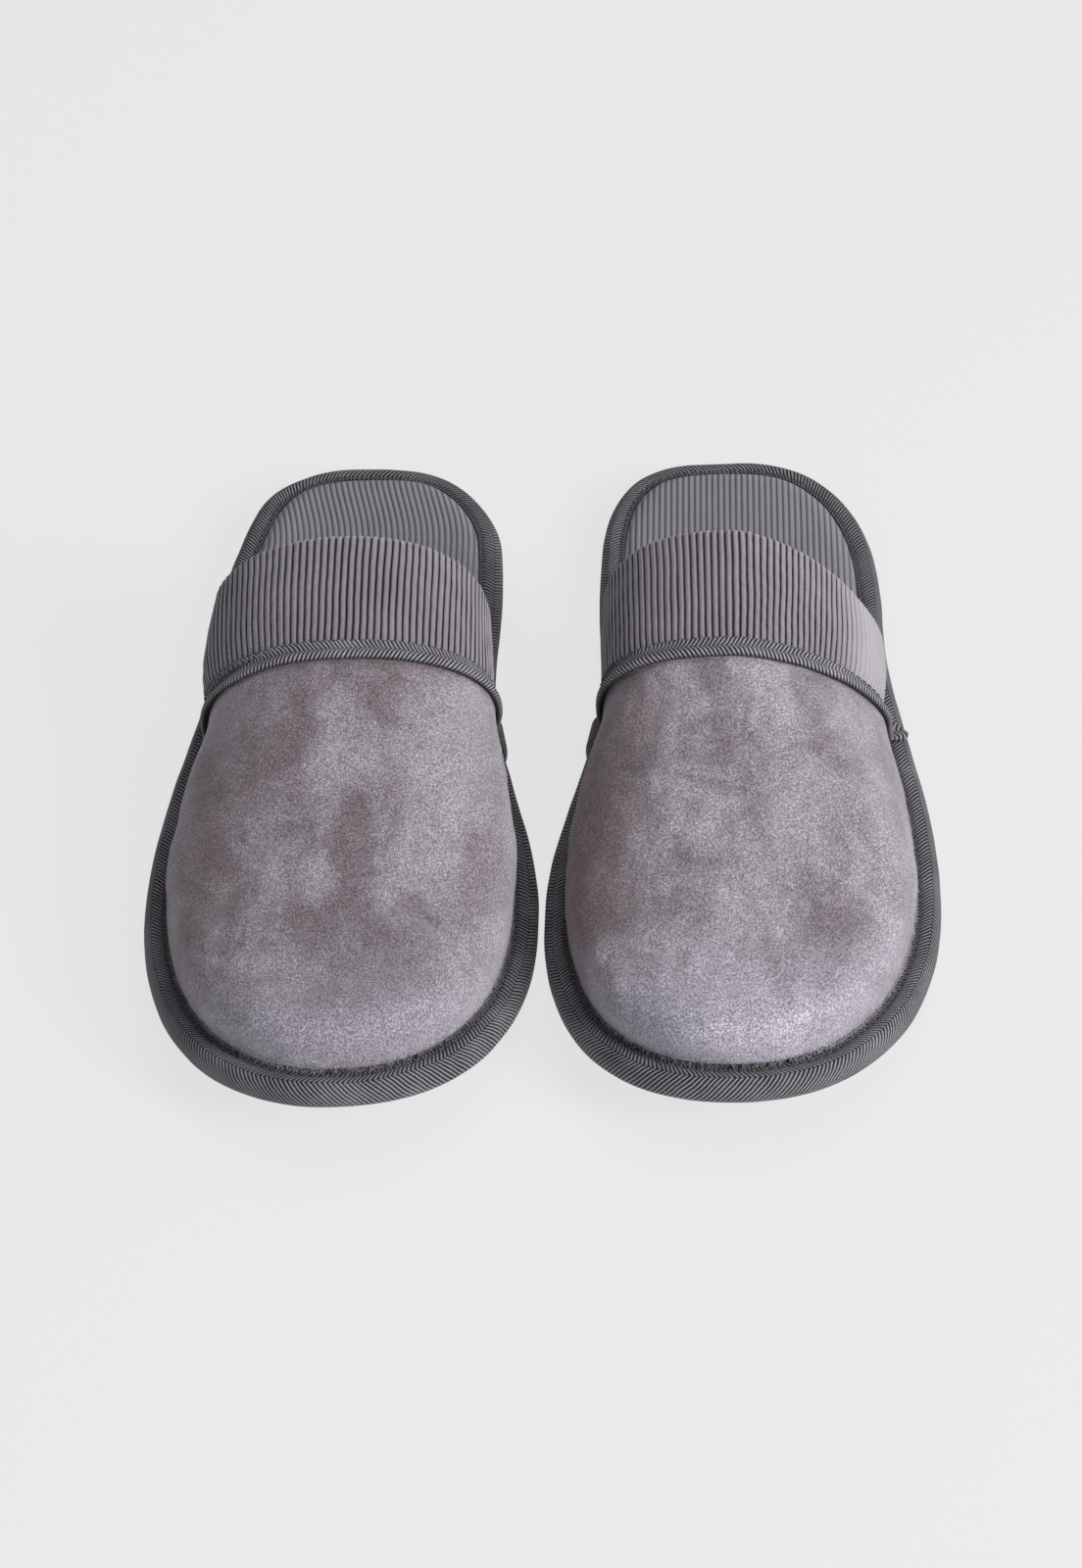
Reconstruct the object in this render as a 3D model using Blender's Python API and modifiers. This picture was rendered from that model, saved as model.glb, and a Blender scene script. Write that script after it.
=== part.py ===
"""A pair of closed-toe spa slippers, each built layer by layer as it is sewn.

Every slipper is drawn in its own flat frame, in metres: u runs across it towards the little toe, v runs
from the toe tip towards the heel, and z is up from the floor. The toe end is then lifted by the toe
spring, the heel leans a little, and the slipper is set beside its mirrored partner.
"""

import math

import bmesh
import bpy
from mathutils import Matrix, Vector

MM = 0.001
MERGE = 0.001 * MM
SMOOTH_ANGLE = math.radians(40.0)

# Sole outline: the half widths are measured from the slipper's centre line.
HALF_LENGTH = 137.5 * MM
PAIR_OFFSET = 52.3 * MM
SIDES = {
    "lateral": {
        "sign": 1.0,
        "ball": (-50.0 * MM, 54.4 * MM),
        "waist": (65.0 * MM, 42.3 * MM),
        "heel": (65.0 * MM, 42.3 * MM),
        "toe_power": 2.1,
        "heel_power": 2.4,
    },
    "medial": {
        "sign": -1.0,
        "ball": (-58.0 * MM, 51.3 * MM),
        "waist": (38.0 * MM, 37.6 * MM),
        "heel": (75.0 * MM, 38.7 * MM),
        "toe_power": 2.25,
        "heel_power": 3.3,
    },
}
STATIONS = 24
OUTLINE_STEP = 0.02
TOE_SPRING = 12.9 * MM
SPRING_STARTS = -50.0 * MM
LEAN_STARTS = 98.0 * MM

# Layers of the sole: heights in the flat frame, and insets from the sole outline.
GAP = 0.3 * MM
OUTSOLE_INSET = 7.6 * MM
OUTSOLE_TOP = 3.4 * MM
TREAD_DEPTH = 1.2 * MM
TREAD_PITCH = 13.0 * MM
TREAD_GROOVE = 2.6 * MM
TREAD_REACH = 70.0 * MM
TREAD_SLOPE = 0.175
CORE_INSET = 1.6 * MM
MIDSOLE_TOP = 7.0 * MM
BOARD_TOP = 8.3 * MM
PAD_TOP = 11.3 * MM
COVER_THICKNESS = 1.0 * MM
COVER_TOP = PAD_TOP + GAP + COVER_THICKNESS
HEEL_COVER_INSET = 7.0 * MM
FRONT_COVER_INSET = 12.4 * MM
COVER_WIDENS = (47.0 * MM, 62.0 * MM)
# The rounded edge of the insole: (inset, height) as shares of its rise.
DOME = ((0.0, 0.0), (0.1, 0.45), (0.6, 0.85), (1.9, 1.0))

# Edge binding: a folded tape round the edge of the layers.
TAPE = 1.0 * MM
LIP_INSET = 6.7 * MM
LIP_TOP = 10.9 * MM
LIP_ROLL = 1.2 * MM
FOLD_BOTTOM = 2.1 * MM
FOLD_CORNER = 1.9 * MM
FOLD_BEVEL = 0.4 * MM
LOWER_LIP_LAP = 0.6 * MM
LAP_FROM = 8.0 * MM
LAP_TO = 22.0 * MM
LAP_STEPS = 3
LAP_TOP_SHARE = 0.7
THREAD_RADIUS = 0.35 * MM
BINDING_STITCH_SETBACK = 1.0 * MM

# Upper: the vamp from the toe to the seam, and the ribbed cuff from the seam to the open edge.
UPPER_INSET = 7.0 * MM
UPPER_BASE = LIP_TOP + 0.5 * MM
CROWN_V = -62.0 * MM
CROWN_HEIGHT = 40.0 * MM
CROWN_SLOPE = 0.277
CROWN_RISE = -0.772
SEAM_TOP_V = 1.0 * MM
SEAM_BASE_V = 16.5 * MM
EDGE_TOP_V = 39.5 * MM
EDGE_BASE_V = 39.5 * MM
TOE_BULGE = 1.0 * MM
# Arches across the upper: the power of the superellipse, the share of the height where the arch is
# widest, and how far the wall stands out over its base there.
CROWN_ARCH = {
    "lateral": {"power": 2.2, "widest": 0.36, "bulge": 0.5 * MM},
    "medial": {"power": 2.2, "widest": 0.36, "bulge": 1.5 * MM},
}
CROWN_STEPS = 5
WALL_STEPS = 2
TOE_SPOKES = 8
VAMP_ROWS = 4
CUFF_ROWS = 3
FOLD_ROWS = 3

SHELL = 0.8 * MM
VAMP_FOAM = 2.6 * MM
LINING = 0.8 * MM
KNIT = 1.0 * MM
CUFF_FOAM = 2.0 * MM
CUFF_GAP = 0.4 * MM
UPPER_THICKNESS = KNIT + CUFF_GAP + CUFF_FOAM + CUFF_GAP + KNIT
SEAM_GAP = 0.5 * MM
SEAM_TAPE_WIDTH = 6.4 * MM
SEAM_TAPE = 0.6 * MM
SEAM_TAPE_OVERLAP = 0.9 * MM
SEAM_TAPE_MIDDLE = 0.4

# The soft arches settle differently on each slipper.
SLIPPERS = {
    "right": {
        "mirror": True,
        "turn": math.radians(0.6),
        "heel_lean": 5.0 * MM,
        "seam": {
            "lateral": {"power": 2.15, "widest": 0.20, "bulge": -1.0 * MM},
            "medial": {"power": 2.25, "widest": 0.37, "bulge": 6.2 * MM},
        },
        "edge": {
            "lateral": {"power": 2.3, "widest": 0.45, "bulge": 2.8 * MM},
            "medial": {"power": 2.25, "widest": 0.37, "bulge": 6.8 * MM},
        },
    },
    "left": {
        "mirror": False,
        "turn": 0.0,
        "heel_lean": 0.0,
        "seam": {
            "lateral": {"power": 1.55, "widest": 0.20, "bulge": -0.5 * MM},
            "medial": {"power": 2.5, "widest": 0.38, "bulge": 3.4 * MM},
        },
        "edge": {
            "lateral": {"power": 1.55, "widest": 0.20, "bulge": 4.6 * MM},
            "medial": {"power": 2.5, "widest": 0.40, "bulge": 5.8 * MM},
        },
    },
}

COLOURS = {
    "outsole": ((0.055, 0.055, 0.06), 0.75),
    "midsole": ((0.62, 0.62, 0.60), 0.85),
    "board": ((0.34, 0.29, 0.23), 0.85),
    "foam": ((0.78, 0.76, 0.68), 0.95),
    "insole_knit": ((0.150, 0.140, 0.165), 0.95),
    "binding": ((0.085, 0.085, 0.095), 0.9),
    "thread": ((0.05, 0.05, 0.055), 0.8),
    "velour": ((0.262, 0.225, 0.252), 0.95),
    "lining": ((0.25, 0.235, 0.25), 0.95),
    "cuff_knit": ((0.145, 0.132, 0.150), 0.95),
}


def clear_scene():
    for obj in list(bpy.data.objects):
        bpy.data.objects.remove(obj, do_unlink=True)


def new_collection(name):
    collection = bpy.data.collections.new(name)
    bpy.context.scene.collection.children.link(collection)
    return collection


def material(slot):
    found = bpy.data.materials.get(slot)
    if found:
        return found
    colour, roughness = COLOURS[slot]
    made = bpy.data.materials.new(slot)
    made.use_nodes = True
    shader = made.node_tree.nodes["Principled BSDF"]
    shader.inputs["Base Color"].default_value = (*colour, 1.0)
    shader.inputs["Roughness"].default_value = roughness
    shader.inputs["Metallic"].default_value = 0.0
    return made


def ease(t):
    """A smooth step from 0 to 1."""
    t = min(max(t, 0.0), 1.0)
    return 0.5 - 0.5 * math.cos(math.pi * t)


# --- Sole outline ---------------------------------------------------------------------------------


def half_width(side, v):
    """The sole's half width on one side: a rounded toe, a waist and a rounded heel."""
    shape = SIDES[side]
    (ball_v, ball), (waist_v, waist), (heel_v, heel) = shape["ball"], shape["waist"], shape["heel"]
    if v <= ball_v:
        reach = min((ball_v - v) / (HALF_LENGTH + ball_v), 1.0)
        power = shape["toe_power"]
        return ball * (1.0 - reach**power) ** (1.0 / power)
    if v <= waist_v:
        return ball + (waist - ball) * ease((v - ball_v) / (waist_v - ball_v))
    if v <= heel_v:
        return waist + (heel - waist) * ease((v - waist_v) / (heel_v - waist_v))
    reach = min((v - heel_v) / (HALF_LENGTH - heel_v), 1.0)
    power = shape["heel_power"]
    return heel * (1.0 - reach**power) ** (1.0 / power)


def outline(angle):
    """A point of the sole outline. Angle 0 is the toe tip, and the lateral side's angles are positive."""
    v = -HALF_LENGTH * math.cos(angle)
    side = "lateral" if math.sin(angle) >= 0.0 else "medial"
    return Vector((SIDES[side]["sign"] * half_width(side, v), v))


def inset_outline(angle, inset):
    """The outline moved inwards, square to itself."""
    along = outline(angle + OUTLINE_STEP) - outline(angle - OUTLINE_STEP)
    outwards = Vector((along.y, -along.x)).normalized()
    return outline(angle) - outwards * inset


def toe_lift(v):
    """How far the toe spring lifts the slipper at v."""
    reach = max(SPRING_STARTS - v, 0.0) / (HALF_LENGTH + SPRING_STARTS)
    return TOE_SPRING * reach * reach


def heel_shift(v, lean):
    """How far a worn heel leans to the outer side at v."""
    return lean * ease((v - LEAN_STARTS) / (HALF_LENGTH - LEAN_STARTS))


# --- Bodies ---------------------------------------------------------------------------------------


def angles():
    """Evenly spaced angles round the outline, from the toe tip along the lateral side."""
    return [math.pi * i / STATIONS for i in range(2 * STATIONS)]


def front_inset(v):
    """How much further in the insole's edge lies under the upper than at the open heel."""
    start, end = COVER_WIDENS
    return (FRONT_COVER_INSET - HEEL_COVER_INSET) * (1.0 - ease((v - start) / (end - start)))


def ring(bm, inset, z, follows_upper=False):
    points = []
    for angle in angles():
        extra = front_inset(outline(angle).y) if follows_upper else 0.0
        u, v = inset_outline(angle, inset + extra)
        points.append(bm.verts.new((u, v, z)))
    return points


def bridge(bm, first, second):
    """Quads between two closed rings of points."""
    count = len(first)
    for i in range(count):
        j = (i + 1) % count
        bm.faces.new((first[i], first[j], second[j], second[i]))


def cap(bm, points, upwards):
    """Closes a ring with a ladder of faces from the toe to the heel."""
    for i in range(STATIONS):
        lateral = points[i], points[i + 1]
        medial = points[-i], points[-i - 1]
        corners = [lateral[0], lateral[1], medial[1], medial[0]]
        unique = list(dict.fromkeys(corners))
        bm.faces.new(unique if upwards else unique[::-1])


def new_object(bm, name, slot):
    bmesh.ops.recalc_face_normals(bm, faces=bm.faces)
    mesh = bpy.data.meshes.new(name)
    bm.to_mesh(mesh)
    bm.free()
    mesh.materials.append(material(slot))
    return bpy.data.objects.new(name, mesh)


def sole_layer(name, slot, profile, follows_upper=False):
    """A body whose edge follows the outline: profile holds (inset, z) from one cap to the other."""
    bm = bmesh.new()
    rings = [ring(bm, inset, z, follows_upper) for inset, z in profile]
    for first, second in zip(rings, rings[1:]):
        bridge(bm, first, second)
    cap(bm, rings[0], upwards=False)
    cap(bm, rings[-1], upwards=True)
    return new_object(bm, name, slot)


def outline_band(name, slot, profile):
    """A closed band round the outline: profile holds the (inset, z) corners of its section."""
    bm = bmesh.new()
    rings = [ring(bm, inset, z) for inset, z in profile]
    for first, second in zip(rings, rings[1:] + rings[:1]):
        bridge(bm, first, second)
    return new_object(bm, name, slot)


def solidify(obj, near, far):
    """Gives an open surface the thickness between two depths under it."""
    modifier = obj.modifiers.new("Thickness", "SOLIDIFY")
    modifier.thickness = far - near
    modifier.offset = -(far + near) / (far - near)
    modifier.use_even_offset = True
    return obj


def applied(obj):
    """The object with its modifiers made part of its mesh."""
    bpy.context.scene.collection.objects.link(obj)
    graph = bpy.context.evaluated_depsgraph_get()
    mesh = bpy.data.meshes.new_from_object(obj.evaluated_get(graph))
    name = obj.name
    slot = obj.data.materials[0]
    bpy.data.objects.remove(obj)
    bm = bmesh.new()
    bm.from_mesh(mesh)
    bmesh.ops.remove_doubles(bm, verts=bm.verts, dist=MERGE)
    bm.to_mesh(mesh)
    bm.free()
    mesh.materials.clear()
    mesh.materials.append(slot)
    return bpy.data.objects.new(name, mesh)


def thread(name, points, cyclic):
    """A sewing thread that lies along the points."""
    curve = bpy.data.curves.new(name, "CURVE")
    curve.dimensions = "3D"
    curve.bevel_depth = THREAD_RADIUS
    curve.bevel_resolution = 1
    curve.use_fill_caps = True
    spline = curve.splines.new("POLY")
    spline.points.add(len(points) - 1)
    for target, point in zip(spline.points, points):
        target.co = (*point, 1.0)
    spline.use_cyclic_u = cyclic
    curve.materials.append(material("thread"))
    return applied(bpy.data.objects.new(name, curve))


# --- Sole -----------------------------------------------------------------------------------------


def tread_cutters():
    """Chevron grooves across the sole, each a bent bar with square ends."""
    bm = bmesh.new()
    half = TREAD_GROOVE / 2.0
    corners = ((-half, -TREAD_DEPTH), (half, -TREAD_DEPTH), (half, TREAD_DEPTH), (-half, TREAD_DEPTH))
    count = int(2.0 * HALF_LENGTH / TREAD_PITCH)
    for i in range(-1, count + 1):
        section = []
        for u in (-TREAD_REACH, 0.0, TREAD_REACH):
            v = -HALF_LENGTH + i * TREAD_PITCH + TREAD_SLOPE * (TREAD_REACH - abs(u))
            section.append([bm.verts.new((u, v + dv, z)) for dv, z in corners])
        for first, second in zip(section, section[1:]):
            bridge(bm, first, second)
        bm.faces.new(section[0])
        bm.faces.new(section[-1])
    return new_object(bm, "tread_grooves", "outsole")


def outsole(cutters):
    body = sole_layer("outsole", "outsole", [(OUTSOLE_INSET, 0.0), (OUTSOLE_INSET, OUTSOLE_TOP)])
    cut = body.modifiers.new("Tread", "BOOLEAN")
    cut.operation = "DIFFERENCE"
    cut.solver = "EXACT"
    cut.object = cutters
    return applied(body)


def midsole():
    bottom = OUTSOLE_TOP + GAP
    return sole_layer("midsole_foam", "midsole", [(CORE_INSET, bottom), (CORE_INSET, MIDSOLE_TOP)])


def insole_board():
    bottom = MIDSOLE_TOP + GAP
    return sole_layer("insole_board", "board", [(CORE_INSET, bottom), (CORE_INSET, BOARD_TOP)])


def dome(inset, bottom, top):
    """The rounded edge of the insole, from its rim up to its flat top."""
    rise = top - bottom
    return [(inset + inwards * rise, bottom + upwards * rise) for inwards, upwards in DOME]


def insole_pad():
    inset = HEEL_COVER_INSET + COVER_THICKNESS + GAP
    bottom = BOARD_TOP + GAP
    return sole_layer("insole_pad", "foam", dome(inset, bottom, PAD_TOP), follows_upper=True)


def insole_cover():
    bottom = BOARD_TOP + GAP
    outer = dome(HEEL_COVER_INSET, bottom, COVER_TOP)
    inner = dome(HEEL_COVER_INSET + COVER_THICKNESS, bottom, PAD_TOP + GAP)
    return sole_layer("insole_cover", "insole_knit", inner[::-1] + outer, follows_upper=True)


def fold_section():
    """The outer face of the binding's fold, from the top lip round the edge to the bottom lip."""
    return [
        (LIP_INSET - LIP_ROLL, LIP_TOP),
        (FOLD_CORNER, LIP_TOP - FOLD_BEVEL),
        (FOLD_BEVEL, LIP_TOP - FOLD_CORNER),
        (0.0, 0.5 * (LIP_TOP + FOLD_BOTTOM)),
        (FOLD_BEVEL, FOLD_BOTTOM + FOLD_CORNER),
        (FOLD_CORNER, FOLD_BOTTOM),
    ]


def edge_binding():
    lip_bottom = LIP_TOP - TAPE
    lower_lip_inset = OUTSOLE_INSET - LOWER_LIP_LAP
    inner_wall = CORE_INSET - GAP
    section = [(LIP_INSET, lip_bottom), (LIP_INSET, LIP_TOP - FOLD_BEVEL)]
    section += fold_section()
    section += [
        (lower_lip_inset, FOLD_BOTTOM),
        (lower_lip_inset, FOLD_BOTTOM + TAPE),
        (inner_wall, FOLD_BOTTOM + TAPE),
        (inner_wall, lip_bottom),
    ]
    return outline_band("edge_binding", "binding", section)


def offset_section(section, distance):
    """A section's points moved outwards, away from the slipper's edge."""
    moved = []
    last = len(section) - 1
    for i, point in enumerate(section):
        before = Vector(section[max(i - 1, 0)])
        after = Vector(section[min(i + 1, last)])
        along = (after - before).normalized()
        normal = Vector((along.y, -along.x))
        moved.append(tuple(Vector(point) + normal * distance))
    return moved


def angle_at(v):
    return math.acos(-v / HALF_LENGTH)


def binding_lap():
    """The end of the binding tape, lapped over its start at the inner side of the waist."""
    fold = fold_section()
    fold[0] = tuple(Vector(fold[0]).lerp(Vector(fold[1]), LAP_TOP_SHARE))
    near = offset_section(fold, GAP)
    far = offset_section(fold, GAP + TAPE)
    section = near + far[::-1]
    bm = bmesh.new()
    rings = []
    for i in range(LAP_STEPS + 1):
        v = LAP_FROM + (LAP_TO - LAP_FROM) * i / LAP_STEPS
        points = [inset_outline(-angle_at(v), inset) for inset, z in section]
        rings.append([bm.verts.new((*point, z)) for point, (inset, z) in zip(points, section)])
    for first, second in zip(rings, rings[1:]):
        bridge(bm, first, second)
    bm.faces.new(rings[0])
    bm.faces.new(rings[-1])
    return new_object(bm, "binding_lap", "binding")


def binding_stitch():
    z = LIP_TOP + GAP + THREAD_RADIUS
    inset = LIP_INSET - BINDING_STITCH_SETBACK
    points = [(*inset_outline(angle, inset), z) for angle in angles()]
    return thread("binding_stitch", points, cyclic=True)


# --- Upper ----------------------------------------------------------------------------------------


def crown_height(v):
    """The height of the upper's ridge behind the crown, rising towards the open edge."""
    back = v - CROWN_V
    return CROWN_HEIGHT + CROWN_SLOPE * back + CROWN_RISE * back * back


def arch(shape):
    """(reach, height, bulge) shares down one side of the arch, from the ridge to the base.

    The upper part is a superellipse down to the widest height. Below it the wall tucks in to the base.
    """
    power = 2.0 / shape["power"]
    widest = shape["widest"]
    steps = []
    for i in range(CROWN_STEPS + 1):
        angle = 0.5 * math.pi * (1.0 - i / CROWN_STEPS)
        reach = abs(math.cos(angle)) ** power
        steps.append((reach, widest + (1.0 - widest) * math.sin(angle) ** power, reach))
    for i in range(1, WALL_STEPS + 1):
        down = i / WALL_STEPS
        steps.append((1.0, widest * (1.0 - down), 1.0 - down * down))
    return steps


def mixed(first, second, share):
    """The arch shape at a share of the way from one to the other."""
    return {key: first[key] + (second[key] - first[key]) * share for key in first}


def half_row(side, shape, top_v, base_v):
    """Points down one side of a cross arch, from the ridge to the base."""
    sign = SIDES[side]["sign"]
    base = inset_outline(sign * angle_at(base_v), UPPER_INSET)
    height = crown_height(top_v) - UPPER_BASE
    points = []
    for reach, rise, bulge in arch(shape):
        u = base.x * reach + sign * bulge * shape["bulge"]
        v = base.y + (top_v - base.y) * rise
        points.append(Vector((u, v, UPPER_BASE + height * rise)))
    return points


def cross_row(first, second, share, top_v, base_v):
    """A whole arch from the lateral base over the ridge to the medial base."""
    lateral = half_row("lateral", mixed(first["lateral"], second["lateral"], share), top_v, base_v)
    medial = half_row("medial", mixed(first["medial"], second["medial"], share), top_v, base_v)
    return lateral[::-1] + medial[1:]


def vamp_row(slipper, share):
    """The cross arch at a share of the way from the crown to the seam."""
    top_v = CROWN_V + (SEAM_TOP_V - CROWN_V) * share
    base_v = CROWN_V + (SEAM_BASE_V - CROWN_V) * share
    return cross_row(CROWN_ARCH, slipper["seam"], share, top_v, base_v)


def cuff_row(slipper, share):
    """The cross arch at a share of the way from the seam to the open edge."""
    top_v = SEAM_TOP_V + (EDGE_TOP_V - SEAM_TOP_V) * share
    base_v = SEAM_BASE_V + (EDGE_BASE_V - SEAM_BASE_V) * share
    return cross_row(slipper["seam"], slipper["edge"], share, top_v, base_v)


def toe_spoke(angle):
    """Points from the crown down to the toe's base rim, in one direction."""
    base = inset_outline(angle, UPPER_INSET)
    centre = Vector((0.0, CROWN_V))
    out = base - centre
    shape = CROWN_ARCH["lateral" if out.x >= 0.0 else "medial"]
    side_share = abs(out.x) / out.length
    bulge_reach = TOE_BULGE + (shape["bulge"] - TOE_BULGE) * side_share
    points = []
    for reach, rise, bulge in arch(shape):
        spot = centre + out * reach + out.normalized() * bulge * bulge_reach
        tilt = CROWN_SLOPE * (spot.y - CROWN_V) * (1.0 - min(reach, 1.0) ** 2)
        points.append(Vector((*spot, UPPER_BASE + (CROWN_HEIGHT - UPPER_BASE) * rise + tilt)))
    return points


def grid_faces(bm, rows):
    made = [[bm.verts.new(point) for point in row] for row in rows]
    for first, second in zip(made, made[1:]):
        for i in range(len(first) - 1):
            bm.faces.new((first[i], first[i + 1], second[i + 1], second[i]))
    return made


def vamp_surface(name, slot, slipper):
    """The vamp as an open surface: cross arches behind the crown, and spokes round the toe before it."""
    bm = bmesh.new()
    rows = [vamp_row(slipper, i / VAMP_ROWS) for i in range(VAMP_ROWS + 1)]
    grid_faces(bm, rows)
    start = angle_at(CROWN_V)
    middle = len(rows[0]) // 2
    spokes = [rows[0][middle::-1]]
    spokes += [toe_spoke(start - 2.0 * start * i / TOE_SPOKES) for i in range(1, TOE_SPOKES)]
    spokes += [rows[0][middle:]]
    grid_faces(bm, spokes)
    bmesh.ops.remove_doubles(bm, verts=bm.verts, dist=MERGE)
    return new_open_object(bm, name, slot)


def new_open_object(bm, name, slot):
    """An open surface whose faces look outwards, away from the foot."""
    bmesh.ops.recalc_face_normals(bm, faces=bm.faces)
    highest = max(bm.faces, key=lambda face: face.calc_center_median().z)
    if highest.normal.z < 0.0:
        bmesh.ops.reverse_faces(bm, faces=bm.faces)
    mesh = bpy.data.meshes.new(name)
    bm.to_mesh(mesh)
    bm.free()
    mesh.materials.append(material(slot))
    return bpy.data.objects.new(name, mesh)


def vamp_layer(name, slot, slipper, near, far):
    return applied(solidify(vamp_surface(name, slot, slipper), near, far))


def row_normals(rows, index):
    """Outward normals along one row of a grid of points."""
    before = rows[max(index - 1, 0)]
    after = rows[min(index + 1, len(rows) - 1)]
    row = rows[index]
    last = len(row) - 1
    normals = []
    for i in range(len(row)):
        along = after[i] - before[i]
        across = row[min(i + 1, last)] - row[max(i - 1, 0)]
        normals.append(along.cross(across).normalized())
    return normals


def moved_row(rows, index, depth, back=0.0):
    """A row moved under its surface by depth, and back along it past the last row."""
    normals = row_normals(rows, index)
    row = rows[index]
    along = [(b - a).normalized() for a, b in zip(rows[index - 1], row)] if index else None
    moved = []
    for i, point in enumerate(row):
        spot = point - normals[i] * depth
        if back:
            spot = spot + along[i] * back
        moved.append(spot)
    return moved


def cuff_rows(slipper):
    """The cuff's arches, from just behind the seam to the open edge."""
    start = SEAM_GAP / (EDGE_TOP_V - SEAM_TOP_V)
    return [cuff_row(slipper, start + (1.0 - start) * i / CUFF_ROWS) for i in range(CUFF_ROWS + 1)]


def cuff_knit(slipper):
    """The knit band, folded double at the open edge."""
    rows = cuff_rows(slipper)
    last = len(rows) - 1
    radius = 0.5 * (UPPER_THICKNESS - KNIT)
    middle = 0.5 * KNIT
    outer = [moved_row(rows, i, middle) for i in range(last + 1)]
    inner = [moved_row(rows, i, middle + 2.0 * radius) for i in range(last, -1, -1)]
    fold = []
    for i in range(1, FOLD_ROWS):
        angle = math.pi * i / FOLD_ROWS
        depth = middle + radius * (1.0 - math.cos(angle))
        fold.append(moved_row(rows, last, depth, back=radius * math.sin(angle)))
    bm = bmesh.new()
    grid_faces(bm, outer + fold + inner)
    surface = new_open_object(bm, "cuff_knit", "cuff_knit")
    return applied(solidify(surface, -middle, middle))


def cuff_padding(slipper):
    """The foam strip inside the folded band."""
    rows = cuff_rows(slipper)
    depth = KNIT + CUFF_GAP
    bm = bmesh.new()
    grid_faces(bm, [moved_row(rows, i, depth) for i in range(len(rows))])
    surface = new_open_object(bm, "cuff_padding", "foam")
    return applied(solidify(surface, 0.0, CUFF_FOAM))


def seam_rows(slipper):
    """Cross arches under the seam tape, cut short just above the binding."""
    forward = (SEAM_TAPE_WIDTH - SEAM_TAPE_OVERLAP) / (SEAM_TOP_V - CROWN_V)
    back = SEAM_TAPE_OVERLAP / (EDGE_TOP_V - SEAM_TOP_V)
    front = vamp_row(slipper, 1.0 - forward)
    middle = vamp_row(slipper, 1.0 - SEAM_TAPE_MIDDLE * forward)
    return [row[1:-1] for row in (front, middle, cuff_row(slipper, back))]


def seam_tape(slipper):
    bm = bmesh.new()
    grid_faces(bm, seam_rows(slipper))
    surface = new_open_object(bm, "seam_tape", "binding")
    return applied(solidify(surface, -GAP - SEAM_TAPE, -GAP))


def seam_stitch(slipper):
    """The thread that holds the tape's rear edge."""
    rows = seam_rows(slipper)
    normals = row_normals(rows, len(rows) - 1)
    clear = GAP + SEAM_TAPE + GAP + THREAD_RADIUS
    points = [point + normal * clear for point, normal in zip(rows[-1], normals)]
    return thread("seam_stitch", points[1:-1], cyclic=False)


# --- Assembly -------------------------------------------------------------------------------------


def place(obj, side, mirror, lean, origin, collection):
    """Lifts the toe, leans the heel, mirrors the right foot's piece, and hangs it on its slipper's origin."""
    mesh = obj.data
    for vertex in mesh.vertices:
        vertex.co.x += heel_shift(vertex.co.y, lean)
        vertex.co.z += toe_lift(vertex.co.y)
    if mirror:
        mesh.transform(Matrix.Scale(-1.0, 4, (1.0, 0.0, 0.0)))
        mesh.flip_normals()
    mesh.shade_smooth()
    mesh.set_sharp_from_angle(angle=SMOOTH_ANGLE)
    obj.name = f"{side}_{obj.name}"
    mesh.name = obj.name
    obj.parent = origin
    collection.objects.link(obj)


def build_slipper(side, slipper, cutters, collection):
    mirror = slipper["mirror"]
    origin = bpy.data.objects.new(f"{side}_slipper_origin", None)
    origin.location.x = -PAIR_OFFSET if mirror else PAIR_OFFSET
    origin.rotation_euler.z = slipper["turn"]
    collection.objects.link(origin)
    foam_at = SHELL + GAP
    lining_at = foam_at + VAMP_FOAM + GAP
    pieces = [
        outsole(cutters),
        midsole(),
        insole_board(),
        insole_pad(),
        insole_cover(),
        edge_binding(),
        binding_lap(),
        binding_stitch(),
        vamp_layer("vamp_shell", "velour", slipper, 0.0, SHELL),
        vamp_layer("vamp_foam", "foam", slipper, foam_at, foam_at + VAMP_FOAM),
        vamp_layer("vamp_lining", "lining", slipper, lining_at, lining_at + LINING),
        cuff_knit(slipper),
        cuff_padding(slipper),
        seam_tape(slipper),
        seam_stitch(slipper),
    ]
    for piece in pieces:
        place(piece, side, mirror, slipper["heel_lean"], origin, collection)
    return origin


def centre(origins):
    """Moves the pair sideways and lengthways so that the middle of its box is the origin."""
    bpy.context.view_layer.update()
    spots = []
    for origin in origins:
        for piece in origin.children:
            spots += [piece.matrix_world @ vertex.co for vertex in piece.data.vertices]
    for axis in (0, 1):
        values = [spot[axis] for spot in spots]
        middle = 0.5 * (min(values) + max(values))
        for origin in origins:
            origin.location[axis] -= middle


def main():
    clear_scene()
    parts = new_collection("spa_slippers")
    cutter_collection = new_collection("cutters")
    cutters = tread_cutters()
    cutters.hide_render = True
    cutters.display_type = "WIRE"
    cutter_collection.objects.link(cutters)
    centre([build_slipper(side, slipper, cutters, parts) for side, slipper in SLIPPERS.items()])


main()
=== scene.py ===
"""The looks of a pair of closed-toe spa slippers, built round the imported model.

Each slipper is drawn in its own flat frame, in metres: u runs across it towards the little toe, v runs from
the toe tip towards the heel, and z is up from the floor. Place.world() lifts the toe, leans the heel, mirrors
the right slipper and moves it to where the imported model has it.
"""

import math

import bmesh
import bpy
import numpy as np
from mathutils import Matrix, Vector
from mathutils.kdtree import KDTree


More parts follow.
